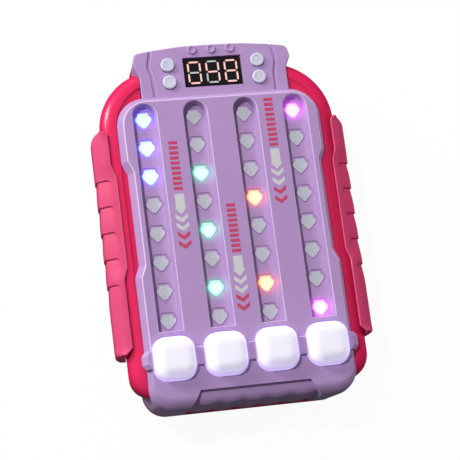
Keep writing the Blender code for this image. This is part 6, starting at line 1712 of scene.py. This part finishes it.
screws = stamp("case_screws", pan_screw(POST_FOOT + SCREW_BITE - SCREW_SEAT),
               [(x, y, SCREW_SEAT) for x, y in CASE_SCREWS], ZINC)
dress(screws, ZINC, "case", "zinc_steel",
      *[f"case_screw_{number}" for number in range(1, len(CASE_SCREWS) + 1)])
door_screw = stamp("door_screw", pan_screw(DOOR_BOSS_HEIGHT - SCREW_DIAMETER - DOOR_SCREW_SEAT),
                   [(0, DOOR_SCREW_Y, DOOR_SCREW_SEAT)], ZINC)
dress(door_screw, ZINC, "case", "zinc_steel", "battery_door_screw")

# %% [markdown]
# The picture is a plain studio shot: a lamp above and a low soft one, both at the display end on the left, a
# weak one behind that draws the far edges, and a white floor that keeps only a faint shadow. A soft lamp on
# the right stands so low that it lights the grip and the walls there and hardly the top. The chin faces away
# from the lamps and turns dark, so the surround gives less light from below than from above. The camera and
# clear plastic see plain white.

# %% Floor, surround and lamps
FLOOR_SIZE = 6.0
FLOOR_LIGHT = 0.22
SHADOW_WEIGHT = 0.05
SURROUND_DIM = 0.07
SURROUND_BRIGHT = 0.22
GLOW_FROM = Vector((-0.6, 0.3, 0.74))
GLOW_EDGE = -0.35
GLOSSY_DIM = 0.05
GLOSSY_BRIGHT = 0.9
LAMPS = (("top_lamp", Vector((-0.66, 0.5, 1.25)), 0.12, 12.2, False),
         ("side_lamp", Vector((-1.05, 0.8, 0.52)), 0.35, 13.5, True),
         ("back_lamp", Vector((-0.25, 1.25, 0.42)), 0.5, 4.0, False),
         ("fill_lamp", Vector((1.4, 0.3, 0.08)), 0.4, 13.0, False))


def seen_directly(tree):
    """1 where the camera or clear plastic sees the surface, and whether a mirror sees it."""
    rays = add_node(tree, "ShaderNodeLightPath")
    seen = add_node(tree, "ShaderNodeMath", operation="MAXIMUM", links={
        0: rays.outputs["Is Camera Ray"], 1: rays.outputs["Is Transmission Ray"]})
    return seen.outputs[0], rays.outputs["Is Glossy Ray"]


def make_floor():
    material = bpy.data.materials.new("white_sweep")
    material.use_nodes = True
    tree = material.node_tree
    tree.nodes.clear()
    output = add_node(tree, "ShaderNodeOutputMaterial")
    white = add_node(tree, "ShaderNodeEmission", {"Color": (1, 1, 1, 1), "Strength": 1.0})
    shaded = add_node(tree, "ShaderNodeBsdfDiffuse", {"Color": (1, 1, 1, 1)})
    seen = add_node(tree, "ShaderNodeMixShader", {0: SHADOW_WEIGHT},
                    {1: white.outputs[0], 2: shaded.outputs[0]})
    dull = add_node(tree, "ShaderNodeBsdfDiffuse", {"Color": (FLOOR_LIGHT, FLOOR_LIGHT, FLOOR_LIGHT, 1)})
    direct, mirrored_in = seen_directly(tree)
    reflected = add_node(tree, "ShaderNodeEmission", {"Color": (1, 1, 1, 1), "Strength": GLOSSY_DIM})
    faint = add_node(tree, "ShaderNodeMixShader", links={0: mirrored_in, 1: dull.outputs[0],
                                                         2: reflected.outputs[0]})
    mixed = add_node(tree, "ShaderNodeMixShader", links={0: direct, 1: faint.outputs[0], 2: seen.outputs[0]})
    tree.links.new(mixed.outputs[0], output.inputs["Surface"])
    low = Vector(cad_box[0])
    half = FLOOR_SIZE / 2
    data = bpy.data.meshes.new("floor")
    data.from_pydata([(-half, -half, low.z), (half, -half, low.z), (half, half, low.z), (-half, half, low.z)],
                     [], [(0, 1, 2, 3)])
    floor = bpy.data.objects.new("floor", data)
    data.materials.append(material)
    bpy.context.scene.collection.objects.link(floor)


def light_world():
    """White all round for the camera; as a light it is a broad glow from one side that fades to a dim one."""
    world = bpy.data.worlds.new("white_surround")
    bpy.context.scene.world = world
    world.use_nodes = True
    tree = world.node_tree
    background = tree.nodes["Background"]
    direction = add_node(tree, "ShaderNodeTexCoord")
    toward = add_node(tree, "ShaderNodeVectorMath", {1: GLOW_FROM.normalized()},
                      {0: direction.outputs["Generated"]}, operation="DOT_PRODUCT")
    direct, mirrored_in = seen_directly(tree)
    levels = []
    for dim, bright in ((SURROUND_DIM, SURROUND_BRIGHT), (GLOSSY_DIM, GLOSSY_BRIGHT)):
        levels.append(add_node(tree, "ShaderNodeMapRange", {"From Min": GLOW_EDGE, "From Max": 1.0,
                                                            "To Min": dim, "To Max": bright},
                               {"Value": toward.outputs["Value"]}, interpolation_type="SMOOTHSTEP"))
    lit = add_node(tree, "ShaderNodeMix", links={0: mirrored_in, 2: levels[0].outputs["Result"],
                                                 3: levels[1].outputs["Result"]})
    strength = add_node(tree, "ShaderNodeMix", {3: 1.0}, {0: direct, 2: lit.outputs[0]})
    background.inputs["Color"].default_value = (1, 1, 1, 1)
    tree.links.new(strength.outputs[0], background.inputs["Strength"])


def soft_lamp(name, place, size, watts, mirrored_in):
    lamp = bpy.data.lights.new(name, "AREA")
    lamp.shape = "DISK"
    lamp.size = size
    lamp.energy = watts
    holder = bpy.data.objects.new(name, lamp)
    holder.visible_glossy = mirrored_in
    bpy.context.scene.collection.objects.link(holder)
    holder.location = place
    holder.rotation_mode = "QUATERNION"
    holder.rotation_quaternion = (Vector((0, 0, 0)) - place).to_track_quat("-Z", "Y")


make_floor()
light_world()
for lamp in LAMPS:
    soft_lamp(*lamp)
bpy.context.scene.view_settings.view_transform = "Standard"
